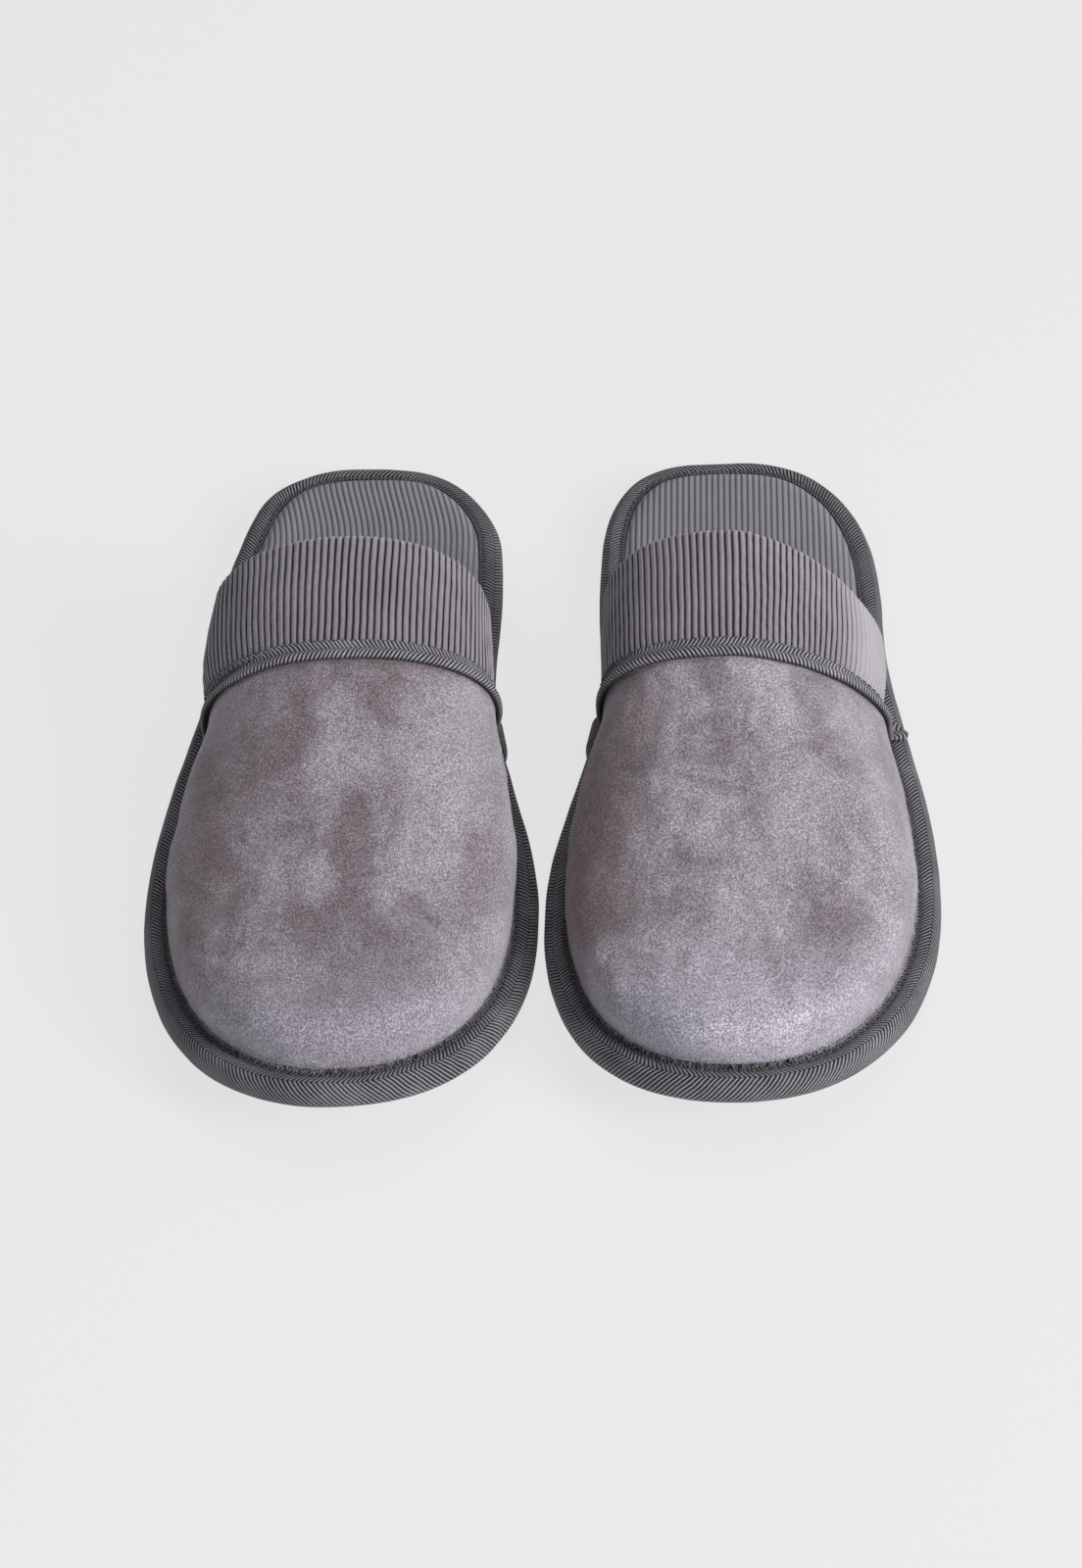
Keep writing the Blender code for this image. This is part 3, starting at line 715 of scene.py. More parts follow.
def velour_material(seed, side_shade, dark, light, toe):
    """Brushed velour: soft patches where the nap leans differently, fine bright fibre tips, painted shade on
    the side away from the key light, and painted light on the lit side and at the toe.
    """
    g = Graph("velour", 0.92, 0.5, 0.4, 0.12, (0.93, 0.9, 0.98))
    spot = g.place(shift=(seed * 0.37, seed * 0.11, 0.0))
    seeded = (seed * 0.2, 0.0, 0.0)
    broad = g.noise(spot, 0.042, distortion=0.8)
    patch = g.noise(spot, 0.016, 3.0, 0.6, 1.2)
    band = g.noise(g.place((1.0, 0.28, 1.0), seeded), 0.021, distortion=0.5)
    streak = g.noise(g.place((1.0, 0.35, 1.0), seeded), 0.007, 3.0, distortion=0.6)
    fleck = g.noise(g.place((1.0, 0.7, 1.0)), 0.00048, roughness=0.75)
    tip = g.noise(spot, 0.00026, 1.0)
    lean = g.add(g.times(broad, 0.3), g.times(patch, 0.22))
    lean = g.add(g.add(lean, g.times(streak, 0.14)), g.times(band, 0.34))
    base = g.mix(g.remap(lean, 0.41, 0.59), dark, light)
    # Painted shade: the velour turns a dark brownish colour towards the side that faces away from the key
    # light, and painted light turns it paler on the side that faces it.
    edge = g.add(g.attribute("side"), g.swing(broad, 0.9))
    base = g.mix(g.times(g.remap(edge, 0.2, 1.0), side_shade), base, SHADED_SIDE_COLOUR)
    base = g.mix(g.times(g.remap(edge, -0.35, -1.0), 0.35), base, LIT_SIDE_COLOUR)
    # Painted light: the toe, which faces the lamps in front, turns to a lighter colour.
    front = g.remap(g.add(g.attribute("toward_toe"), g.swing(patch, 0.5)), 0.45, 1.0)
    base = g.mix(g.times(front, 0.65), base, toe)
    grain = g.add(g.times(fleck, 0.62), g.times(tip, 0.38))
    grain = g.remap(grain, 0.4, 0.68, 0.5, 1.85)
    colour = g.node("VectorMath", {0: base, "Scale": grain}, operation="SCALE").outputs[0]
    near = g.bump(g.add(fleck, g.times(tip, 0.6)), 0.6 * MM, 0.6)
    return g.finish(colour, g.bump(g.add(patch, streak), 2.0 * MM, 0.3, near))


def rib_knit_material(name, dark, light, stitch_mm, sheen, lit_plain_colour=None):
    """Rib knit: rows of small stitches along each rib, and shade in the grooves between the ribs.

    Where the knit is pulled flat, the ribs fade, and the colour there turns paler: painted light on the side
    of the cuff that faces the key light.
    """
    g = Graph(name, 0.9, sheen, 0.3, 0.12, (0.95, 0.94, 1.0))
    across = g.less(g.math("FRACT", g.attribute("rib")), 0.5)
    crest = g.remap(g.math("ABSOLUTE", across), 0.5, 0.16)
    if lit_plain_colour:
        relief = g.attribute("relief")
        shown = g.add(g.times(relief, 0.85), 0.15)
        crest = g.less(1.0, g.times(g.less(1.0, crest), shown))
        # Painted light: paler where the ribs fade, on the side that faces the key light.
        light = g.mix(g.remap(relief, 0.95, 0.22), light, lit_plain_colour)
    stitch = g.add(g.math("DIVIDE", g.attribute("along"), stitch_mm), g.times(across, 1.1))
    loop = g.times(g.math("POWER", g.arc(g.math("FRACT", stitch)), 0.7), crest)
    spot = g.place()
    fuzz = g.noise(spot, 0.0006, 3.0, 0.7)
    patch = g.noise(spot, 0.014, distortion=0.5)
    level = g.times(g.remap(crest, 0.0, 0.8), g.add(g.times(loop, 0.45), 0.6))
    level = g.math("ADD", g.add(level, g.swing(fuzz, 0.55)), g.swing(patch, 0.35), clamp=True)
    height = g.add(loop, g.times(fuzz, 0.5))
    return g.finish(g.mix(level, dark, light), g.bump(height, 0.32 * MM, 0.8))


def twill_material(name, dark, light, pitch_mm, slope):
    """Herringbone tape: diagonal floats that mirror at the spine along the tape, and painted shade where the
    tape rolls under and in the binding's groove and at its inner edge.
    """
    g = Graph(name, 0.78, 0.08, 0.45, 0.25)
    along = g.attribute("along")
    mirrored = g.math("ABSOLUTE", g.attribute("across"))
    spot = g.place()
    sway = g.swing(g.noise(spot, 0.006, 1.0), 0.9)
    diagonal = g.add(g.add(along, g.times(mirrored, slope)), sway)
    ridge = g.remap(g.arc(g.math("FRACT", g.math("DIVIDE", diagonal, pitch_mm))), 0.42, 0.95)
    crossing = g.less(along, g.times(mirrored, 0.75))
    cross = g.math("SINE", g.times(crossing, 2.0 * math.pi / 0.7))
    thread = g.times(ridge, g.add(g.times(cross, 0.22), 0.78))
    thread = g.times(thread, g.remap(mirrored, 0.0, 0.3, 0.45, 1.0))
    fuzz = g.noise(spot, 0.0005, roughness=0.7)
    patch = g.noise(spot, 0.012)
    level = g.add(g.times(thread, 0.85), g.swing(fuzz, 0.5))
    level = g.math("ADD", level, g.swing(patch, 0.4), clamp=True)
    # Painted shade: near black where the tape rolls under, and in the binding's stitch groove and at its
    # inner edge.
    colour = g.mix(g.attribute("tucked"), g.mix(level, dark, light), PAINTED_SHADE_COLOUR)
    height = g.add(thread, g.times(fuzz, 0.35))
    return g.finish(colour, g.bump(height, 0.6 * MM, 0.9))


def plain_knit_material():
    g = Graph("lining_knit", 0.9, 0.3, specular=0.12)
    weave = g.noise(g.place((1.0, 0.4, 1.0)), 0.0007)
    patch = g.noise(g.place(), 0.015)
    level = g.add(g.times(weave, 0.7), g.times(patch, 0.3))
    colour = g.mix(g.remap(level, 0.35, 0.65), (104, 98, 106), (142, 136, 144))
    return g.finish(colour, g.bump(weave, 0.3 * MM, 0.7))


def rubber_material():
    g = Graph("sole_rubber", 0.62, specular=0.4)
    spot = g.place()
    pebble = g.noise(spot, 0.0011, 3.0, 0.6)
    dust = g.noise(spot, 0.02, 3.0)
    colour = g.mix(g.remap(dust, 0.35, 0.7), (34, 34, 37), (58, 57, 60))
    return g.finish(colour, g.bump(pebble, 0.3 * MM, 0.6), g.remap(dust, 0.3, 0.7, 0.5, 0.75))


def grain_material(name, dark, light, grain, depth, **surface):
    """Thread, foam or pressed board: a fine grain of slightly different shade."""
    g = Graph(name, **surface)
    level = g.noise(g.place(), *grain)
    return g.finish(g.mix(g.remap(level, 0.35, 0.65), dark, light), g.bump(level, depth, 0.6))


# Painted shade for the velour's side away from the key light, and painted light for its lit side.
SHADED_SIDE_COLOUR = (98, 80, 78)
LIT_SIDE_COLOUR = (158, 152, 160)
# Painted shade, near black, under the tape's front roll and in the binding's grooves.
PAINTED_SHADE_COLOUR = (14, 14, 15)
# How strongly the side away from the key light is darkened by painted shade, the dark and light patches, and
# the toe's lighter colour, which is painted light. The left slipper stands nearer the key light, and its
# colours are painted lighter.
VELOUR = {
    "right": (0.4, (113, 103, 108), (152, 146, 153), (154, 151, 162)),
    "left": (0.95, (116, 107, 112), (158, 152, 160), (172, 169, 182)),
}
# The ribs' and the twills' dark and light shades. The ribs' stitch length in mm and sheen, and the twills'
# pitch in mm and slope, follow.
CUFF_RIB = ((18, 15, 19), (138, 132, 139), 0.8, 0.75)
INSOLE_RIB = ((100, 97, 105), (143, 139, 148), 0.9, 0.25)
TAPE_TWILL = ((26, 26, 28), (192, 189, 196), 1.2, 0.55)
BINDING_TWILL = ((10, 10, 11), (164, 163, 172), 1.35, 0.8)
# Painted light on the plain knit of each cuff's side that faces the key light. The right slipper's colour is
# the same as its ribs' light shade.
LIT_PLAIN_COLOURS = {"right": (138, 132, 139), "left": (172, 166, 174)}
# Name, dark and light shades, the grain's size, detail and roughness, and its depth.
THREAD = ("sewing_thread", (44, 43, 47), (92, 90, 95), (0.0004,), 0.2 * MM)
FOAM = ("eva_foam", (160, 160, 156), (196, 196, 190), (0.0009, 3.0, 0.65), 0.3 * MM)
BOARD = ("fibre_board", (58, 55, 54), (84, 80, 78), (0.0012, 3.0, 0.65), 0.3 * MM)

# --- Vamp ---


def build_vamp(place, seed):
    points, faces, distance = vamp_surface(place.shape)
    faces, normals = outwards(points, faces)
    push = swelling(points, faces, normals, distance, 1.5 * MM, 2.5 * MM)
    push = smoothed_values(push, faces, 25)
    hold = ease((distance - 1.0 * MM) / (10.0 * MM))
    push = (push - np.median(push[distance > 12.0 * MM])) * hold
    soft = 0.45 * ripple(points, 34.0 * MM, seed) + 0.18 * ripple(points, 13.0 * MM, seed + 1)
    nap = 0.07 * ripple(points, 4.0 * MM, seed + 2)
    full = points + normals * (0.6 * push + (soft * hold + nap) * MM)[:, None]
    velour = place.add("velour_vamp", full, faces, **place.light_and_shade_masks(points))
    thickened(velour, 3.7 * MM)
    subdivided(velour)
    lining = place.add("vamp_lining_cloth", points - normals * (3.95 * MM), faces)
    thickened(lining, 0.8 * MM)
    return full, faces


FRINGE_COUNT = 4950
FIBRE_LENGTH = (0.9 * MM, 1.9 * MM)
FIBRE_HALF_WIDTH = (0.06 * MM, 0.11 * MM)


def build_fringe(place, seed, points, faces):
    """The pile at the vamp's lower edge: fine fibre tufts that hang over the groove beside the binding."""
    rng = np.random.default_rng(seed)
    normals = mesh_normals(points, faces)
    above = points[:, 2] - UPPER_BASE
    picked = rng.choice(np.flatnonzero((above < 2.4 * MM) & (above > -0.3 * MM)), size=FRINGE_COUNT)
    jitter = rng.uniform(-0.7, 0.7, size=(FRINGE_COUNT, 3)) * MM
    out = normals[picked]
    root = points[picked] + jitter - out * ((jitter * out).sum(axis=1, keepdims=True) + 0.12 * MM)
    length = rng.uniform(*FIBRE_LENGTH, size=(FRINGE_COUNT, 1))
    lean = unit(np.array([0.0, 0.0, -1.0]) + rng.normal(0.0, 0.35, size=(FRINGE_COUNT, 3)) + out * 0.75)
    side = unit(np.cross(lean, out), 1e-9)
    other = np.cross(lean, side)
    half = rng.uniform(*FIBRE_HALF_WIDTH, size=(FRINGE_COUNT, 1))
    behind = root - side * half * 0.5
    corners = [root + side * half, behind + other * half, behind - other * half, root + lean * length]
    block = np.stack(corners, axis=1)
    start = 4 * np.arange(FRINGE_COUNT)
    found = []
    for face in ((0, 1, 3), (1, 2, 3), (2, 0, 3), (0, 2, 1)):
        found += np.stack([start + corner for corner in face], axis=1).tolist()
    place.add("pile_fringe", block, found, smooth=False, **place.light_and_shade_masks(block))


# --- Cuff ---

RIB_PITCH = 1.9 * MM
RIB_COLUMNS = 10
RIB_HEIGHT = 0.5 * MM
CUFF_ROWS = 44
FOLD_ROWS = 9
STITCH_ROW_MM = 0.8
PADDING_ROWS = 30
PADDING_COLUMNS = 110


def cuff_fractions(slipper):
    """Shares of the arch's two sides at which the rib columns stand."""
    found = {}
    for side in ("lateral", "medial"):
        middle = mixed(slipper["cuff"][side], slipper["edge"][side], 0.5)
        top_v, base_v = 0.5 * (SEAM_TOP_V + EDGE_V), 0.5 * (SEAM_BASE_V + EDGE_V)
        line = half_row(side, middle, top_v, base_v, np.linspace(0.0, 1.0, 200))
        ribs = int(round(run_of(line)[-1] / RIB_PITCH))
        found[side] = np.linspace(0.0, 1.0, ribs * RIB_COLUMNS + 1)
    return found


def cuff_push(base, shares, q):
    """How far the padding pushes each point of the cuff outwards, from a coarser grid of its points."""
    rows, columns = base.shape[:2]
    some_rows = np.linspace(0, rows - 1, PADDING_ROWS).round().astype(int)
    some_columns = np.linspace(0, columns - 1, PADDING_COLUMNS).round().astype(int)
    coarse = base[np.ix_(some_rows, some_columns)]
    flat = coarse.reshape(-1, 3)
    faces, normals = outwards(flat, grid_faces(*coarse.shape[:2]))
    from_seam = (shares[some_rows] - shares[0])[:, None] * 38.0 * MM
    from_base = (1.0 - q[some_columns])[None, :] * 60.0 * MM
    distance = np.minimum(from_seam, from_base).ravel()
    push = swelling(flat, faces, normals, distance, 0.8 * MM, 1.9 * MM)
    push = smoothed_values(push, faces, 8).reshape(coarse.shape[:2])
    across = np.stack([np.interp(np.arange(columns), some_columns, row) for row in push])
    return np.stack([np.interp(np.arange(rows), some_rows, column) for column in across.T], axis=1)


def build_cuff(place, seed):
    slipper = place.shape
    fractions = cuff_fractions(slipper)
    shares = np.linspace(-0.02, 1.0, CUFF_ROWS)
    base = np.stack([cuff_row(slipper, share, fractions) for share in shares])
    columns = base.shape[1]
    rib = np.arange(columns) / RIB_COLUMNS
    q = np.concatenate([fractions["lateral"][::-1], fractions["medial"][1:]])
    lateral = np.arange(columns) < len(fractions["lateral"]) - 1
    push = cuff_push(base, shares, q)

    length = np.clip(shares, 0.0, 1.0)[:, None]
    puff = np.sin(np.pi * length**0.8) * 0.9 * MM * ease((1.0 - q) / 0.2)
    hip = np.exp(-(((q - 0.7) / 0.2) ** 2)) * lateral
    puff = puff + slipper["hip"] * np.sin(np.pi * length**0.6) * hip
    soft = ripple(base, 26.0 * MM, seed) * 0.25 * MM * ease((shares - 0.05) / 0.3)[:, None]
    puff = puff + soft + 0.35 * np.clip(push, -2.0 * MM, 2.0 * MM)
    base = base + grid_normals(base) * puff[..., None]

    # The knit goes over the open edge in a half circle, and back down inside to the seam.
    normal = grid_normals(base)
    radius = 0.5 * UPPER_THICKNESS
    along = unit(base[-1] - base[-2])
    points, normals = [*base], [*normal]
    for i in range(1, FOLD_ROWS):
        angle = math.pi * i / FOLD_ROWS
        out = math.cos(angle) * normal[-1] + math.sin(angle) * along
        points.append(base[-1] - normal[-1] * radius + out * radius)
        normals.append(out)
    points = np.stack([*points, *(base - normal * 2.0 * radius)[::-1]])
    normals = np.stack([*normals, *-normal[::-1]])

    run = run_of(points) / MM
    wave = np.abs(np.sin(np.pi * rib)) ** 0.55
    wander = 0.09 * MM * ripple(points, 17.0 * MM, seed + 3) + 0.02 * MM * ripple(points, 5.0 * MM, seed + 4)
    sideways = unit(np.gradient(points, axis=1))
    points = points + sideways * (wander * ease((1.0 - q) / 0.1))[..., None]
    plain_from = np.where(lateral, slipper["plain_from"]["lateral"], slipper["plain_from"]["medial"])
    strength = 0.22 + 0.78 * ease((plain_from + 0.34 - q) / 0.34)
    ribbed = (wave - 0.62) * strength * RIB_HEIGHT
    stitch = 0.06 * MM * np.sin(2.0 * np.pi * (run / STITCH_ROW_MM + 0.5 * np.floor(rib))) * wave
    points = points + normals * (ribbed + stitch)[..., None]
    faces = tube_faces(len(points), columns)
    cuff = place.add("rib_cuff", points, faces, rib=rib, along=run, relief=strength)
    fix_facing(cuff)


# --- Tapes and stitches ---

# Corners of the seam tape's section: how far each is behind the seam, and how high above the cloth.
TAPE_SECTION = (
    (1.0, -0.3), (0.95, 0.66), (0.0, 0.9), (-1.6, 1.05), (-2.8, 1.5), (-3.9, 2.25),
    (-4.9, 2.3), (-5.7, 1.7), (-5.95, 0.95), (-5.5, 0.35), (-4.9, -0.2),
)  # fmt: skip
TAPE_POINTS = 22
TAPE_SPINE = 2.6 * MM
TAPE_TUCK = 5.75 * MM
TAPE_STATIONS = 150
TAPE_TIP = 1.6 * MM
TAPE_TIPS = {("left", "lateral"): 4.6 * MM}
STITCH_LENGTH = 1.9 * MM
STITCH_PITCH = 2.7 * MM
STITCH_RADIUS = 0.24 * MM
STITCH_SIDES = 6
STITCH_RINGS = 7


def smooth_section(corners_mm, count):
    """A smooth curve through the corners of a section, as evenly spaced points."""
    corners = np.array(corners_mm) * MM
    padded = np.concatenate([2 * corners[:1] - corners[1:2], corners, 2 * corners[-1:] - corners[-2:-1]])
    t = np.linspace(0.0, 1.0, 12, endpoint=False)[:, None]
    curve = []
    for i in range(len(corners) - 1):
        p0, p1, p2, p3 = padded[i : i + 4]
        bend = (2 * p0 - 5 * p1 + 4 * p2 - p3) * t**2 + (3 * p1 - p0 - 3 * p2 + p3) * t**3
        curve.append(0.5 * (2 * p1 + (p2 - p0) * t + bend))
    curve = np.concatenate(curve + [corners[-1:]])
    run = run_of(curve)
    return spots_at(curve, run, np.linspace(0.0, run[-1], count))


def upper_line(slipper, fractions, reach):
    """A line across the upper at this distance behind (+) or ahead (-) of the seam."""
    seam_v = SEAM_TOP_V + slipper["seam_shift"]
    if reach <= 0.0:
        return vamp_row(slipper, 1.0 + reach / (seam_v - CROWN_V), fractions)
    return cuff_row(slipper, reach / (EDGE_V - seam_v), fractions)


def tape_tip(base, side, tip, lie):
    """Rows of points that carry the tape's end outwards and lay it on the binding's lip."""
    count = max(int(tip / (0.8 * MM)), 2)
    rows = []
    for i in range(1, count + 1):
        go = tip * i / count
        spot = base + np.array([SIDES[side]["sign"], 0.0, 0.0]) * go
        share = min(1.0, go / (1.4 * MM))
        spot[:, 2] = base[:, 2] * (1.0 - share) + lie * share
        rows.append(spot)
    return np.stack(rows, axis=1)


def build_tape(place, seed):
    slipper = place.shape
    section = smooth_section(TAPE_SECTION, TAPE_POINTS)
    fractions = even_fractions(TAPE_STATIONS)
    surface = np.stack([upper_line(slipper, fractions, reach) for reach in section[:, 0]])
    centre = upper_line(slipper, fractions, -2.0 * MM)
    ahead = upper_line(slipper, fractions, -5.0 * MM)
    behind = upper_line(slipper, fractions, 1.0 * MM)
    normal = unit(np.cross(behind - ahead, np.gradient(centre, axis=0)))
    if normal[len(normal) // 2][2] < 0.0:
        normal = -normal
    wobble = 1.0 + 0.08 * ripple(centre, 18.0 * MM, seed)
    points = surface + normal * (section[:, 1:] * wobble)[..., None]
    lie = LIP_TOP + 0.15 * MM + section[:, 1] * 0.6
    tips = [TAPE_TIPS.get((place.side, side), TAPE_TIP) for side in ("lateral", "medial")]
    first = tape_tip(points[:, 0], "lateral", tips[0], lie)
    last = tape_tip(points[:, -1], "medial", tips[1], lie)
    points = np.concatenate([first[:, ::-1], points, last], axis=1)
    along = run_of(points[len(section) // 2]) / MM
    width = run_of(section)
    front = int(0.8 * len(section))
    spine = np.interp(TAPE_SPINE, -section[:, 0], width)
    tuck = np.interp(TAPE_TUCK, -section[:front, 0], width[:front])
    tape = place.add(
        "seam_tape_twill",
        points,
        tube_faces(*points.shape[:2]),
        along=along,
        across=(width - spine)[:, None] / MM,
        # Painted shade on the underside of the tape's front roll.
        tucked=0.92 * ease((width - tuck) / (0.9 * MM))[:, None],
    )
    fix_facing(tape)
    subdivided(tape)
    line = upper_line(slipper, fractions, 0.55 * MM) + normal * (0.72 * MM)
    add_stitches(place, "seam_thread", line, normal)


def add_stitches(place, name, line, normal):
    """Short thread stitches along a line, each bowed up and dipping into the cloth at both ends."""
    run = run_of(line)
    share = np.linspace(-1.0, 1.0, STITCH_RINGS)
    rise = (0.12 * MM - 0.34 * MM * share**4)[:, None]
    thick = (STITCH_RADIUS * (1.0 - 0.45 * share**4))[:, None]
    points, faces = [], []
    for i in range(int((run[-1] - STITCH_LENGTH) / STITCH_PITCH)):
        wanted = (i + 0.25) * STITCH_PITCH + np.linspace(0.0, STITCH_LENGTH, STITCH_RINGS)
        spot = spots_at(line, run, wanted)
        up = unit(spots_at(normal, run, wanted))
        side = np.cross(unit(np.gradient(spot, axis=0)), up)
        start = i * STITCH_SIDES * STITCH_RINGS
        angles = 2.0 * math.pi * np.arange(STITCH_SIDES) / STITCH_SIDES
        ring = [(math.cos(angle) * side + math.sin(angle) * up) * thick for angle in angles]
        points.append(np.stack([spot + up * rise + offset for offset in ring], axis=1))
        faces += grid_faces(STITCH_RINGS, STITCH_SIDES, closed_columns=True, offset=start)
        faces.append([start + k for k in range(STITCH_SIDES)][::-1])
        faces.append([start + (STITCH_RINGS - 1) * STITCH_SIDES + k for k in range(STITCH_SIDES)])
    fix_facing(place.add(name, np.concatenate(points), faces))


# --- Edge binding ---

# Corners of the binding's section: inset from the outline, and height.
BINDING_SECTION = (
    (6.75, 9.95), (6.8, 10.55), (6.45, 10.95), (6.05, 10.9), (5.6, 10.4), (5.15, 10.85), (4.4, 11.05),
    (3.2, 11.12), (2.2, 10.95), (1.3, 10.35), (0.55, 9.4), (0.12, 8.2), (0.0, 6.7), (0.08, 5.2),
    (0.45, 3.8), (1.2, 2.75), (2.4, 2.2), (4.4, 2.1), (6.6, 2.1), (7.0, 2.3),
)  # fmt: skip
BINDING_INSIDE = np.array([(6.9, 3.0), (1.35, 3.1), (1.35, 9.75), (6.5, 9.85)]) * MM
BINDING_STATIONS = 560
BINDING_POINTS = 40
BINDING_TOP_POINTS = 18
BINDING_SPINE = 1.9 * MM
STITCH_INSET = 5.6 * MM
LAP_STATIONS = 15
LAP_FOLD = (8, BINDING_POINTS - 2)


def build_binding(place, seed):
    outer = smooth_section(BINDING_SECTION, BINDING_POINTS)
    section = np.concatenate([outer, BINDING_INSIDE])
    inset, z = section[:, 0], section[:, 1]
    seam = -float(angle_at(0.5 * (LAP_FROM + LAP_TO)))
    angles, along = even_angles(BINDING_STATIONS, seam, seam + 2.0 * math.pi)
    flat = flat_points(outline(angles))
    sway = 0.11 * MM * ripple(flat, 22.0 * MM, seed) + 0.04 * MM * ripple(flat, 9.0 * MM, seed + 1)
    lift = 0.18 * MM * ripple(flat, 21.0 * MM, seed + 2)
    points = np.zeros((len(section), BINDING_STATIONS, 3))
    for k in range(len(section)):
        moves = 1.0 if k < len(outer) else 0.0
        points[k, :, :2] = rim(angles, inset[k] + sway * moves * 0.8)
        points[k, :, 2] = z[k] + lift * moves * ease((z[k] - 6.0 * MM) / (4.0 * MM))
    width = run_of(outer)
    crest = int(np.argmin(np.abs(outer[:BINDING_TOP_POINTS, 0] - BINDING_SPINE)))
    across = np.concatenate([width - width[crest], np.zeros(len(BINDING_INSIDE))]) / MM
    # Painted shade in the stitch groove and under the lip's inner edge, on the top of the binding only.
    groove = np.exp(-(((inset - STITCH_INSET) / (0.35 * MM)) ** 2))
    tucked = np.maximum(0.85 * groove, 0.9 * ease((inset - 6.3 * MM) / (0.45 * MM)))
    binding = place.add(
        "edge_binding_twill",
        points,
        grid_faces(len(section), BINDING_STATIONS, closed_rows=True, closed_columns=True),
        along=along / MM,
        across=across[:, None],
        tucked=np.where(z > 9.0 * MM, tucked, 0.0)[:, None],
    )
    fix_facing(binding)
    line = flat_points(rim(angles, STITCH_INSET))
    line[:, 2] += 10.6 * MM + lift
    up = np.tile(np.array([0.0, 0.0, 1.0]), (BINDING_STATIONS + 1, 1))
    add_stitches(place, "binding_thread", np.concatenate([line, line[:1]]), up)
    build_lap(place, outer[slice(*LAP_FOLD)])


def build_lap(place, fold):
    """The binding's end, turned under and lapped over its start at the inner side of the waist."""
    along = unit(np.gradient(fold, axis=0))
    out = np.stack([along[:, 1], -along[:, 0]], axis=-1)
    if out[len(out) // 2][0] > 0.0:
        out = -out
    stations = np.linspace(0.0, 1.0, LAP_STATIONS)

    def layer(share, depth):
        swell = 1.0 + 0.12 * math.sin(math.pi * share)
        spot = fold + out * (0.1 * MM + depth * swell)
        angle = -float(angle_at(LAP_FROM + (LAP_TO - LAP_FROM) * share))
        return np.concatenate([rim(np.full(len(spot), angle), spot[:, 0]), spot[:, 1:]], axis=1)

    near = np.stack([layer(share, 0.12 * MM) for share in stations])
    far = np.stack([layer(share, 1.15 * MM * ease(min(share, 1.0 - share) / 0.12)) for share in stations])
    grid = np.concatenate([near, far[:, ::-1]], axis=1)
    faces = stack_faces(*grid.shape[:2])
    width = run_of(fold) / MM
    across = np.concatenate([width, width[::-1]]) - 1.2
    along = (stations * (LAP_TO - LAP_FROM) / MM)[:, None]
    subdivided(fix_facing(place.add("binding_lap_twill", grid, faces, along=along, across=across)))


# --- Sole ---

INSOLE_PITCH = 1.72 * MM
INSOLE_COLUMNS = 7
INSOLE_ROWS = 130
OUTSOLE_STATIONS = 260


def insole_inset(angle):
    start, end = COVER_WIDENS
    share = 1.0 - ease((outline(angle)[..., 1] - start) / (end - start))
    return HEEL_COVER_INSET + (FRONT_COVER_INSET - HEEL_COVER_INSET) * share


def crossings(edge, u):
    """Where a line along the slipper at this u enters and leaves a closed edge."""
    found = []
    for a, b in zip(edge, np.roll(edge, -1, axis=0)):
        if (a[0] - u) * (b[0] - u) <= 0.0 and a[0] != b[0]:
            found.append(a[1] + (b[1] - a[1]) * (u - a[0]) / (b[0] - a[0]))
    return min(found), max(found)


def build_insole(place, seed):
    angles, _ = even_angles(1400)
    edge = rim(angles, insole_inset(angles))
    low, high = edge[:, 0].min(), edge[:, 0].max()
    ribs = int((high - low) / INSOLE_PITCH)
    us = np.linspace(low + 0.02 * MM, high - 0.02 * MM, ribs * INSOLE_COLUMNS + 1)
    start, end = np.array([crossings(edge, u) for u in us]).T
    t = np.linspace(0.0, 1.0, INSOLE_ROWS)
    v = start + (end - start) * (0.5 * t + 0.5 * ease(t))[:, None]
    u = np.tile(us, (INSOLE_ROWS, 1))
    flat = np.stack([u, v, np.zeros_like(u)], axis=-1)
    tree = tree_of(flat_points(edge))
    away = np.array([tree.find(spot)[2] for spot in flat.reshape(-1, 3)]).reshape(u.shape)
    tuck = ease(away / (0.9 * MM)) * 0.42
    dome = tuck + (1.0 - tuck) * (1.0 - np.clip(1.0 - away / (7.0 * MM), 0.0, 1.0) ** 2.2)
    bottom = BOARD_TOP + 0.3 * MM
    rib = (us - low) / INSOLE_PITCH
    wave = np.abs(np.sin(np.pi * rib)) ** 0.8
    trodden = 0.45 * MM * ripple(flat, 45.0 * MM, seed)
    z = bottom + (COVER_TOP - bottom) * dome + trodden * ease(away / (12.0 * MM))
    z = z + (wave - 0.6) * 0.3 * MM * ease((away - 0.8 * MM) / (2.5 * MM))
    top = np.stack([u, v, z], axis=-1)
    under = np.stack([u, v, np.full_like(u, bottom - 0.25 * MM)], axis=-1)
    rows, columns = u.shape
    count = rows * columns
    faces = grid_faces(rows, columns)
    below = [[i + count for i in face[::-1]] for face in faces]
    index = np.arange(count).reshape(rows, columns)
    loop = [*index[0], *index[1:, -1], *index[-1, -2::-1], *index[-2:0:-1, 0]]
    sides = [[int(i) for i in (a, b, b + count, a + count)] for a, b in zip(loop, loop[1:] + loop[:1])]
    points = np.stack([top, under])
    cover = place.add("rib_insole", points, faces + below + sides, rib=rib, along=v / MM)
    fix_facing(cover)


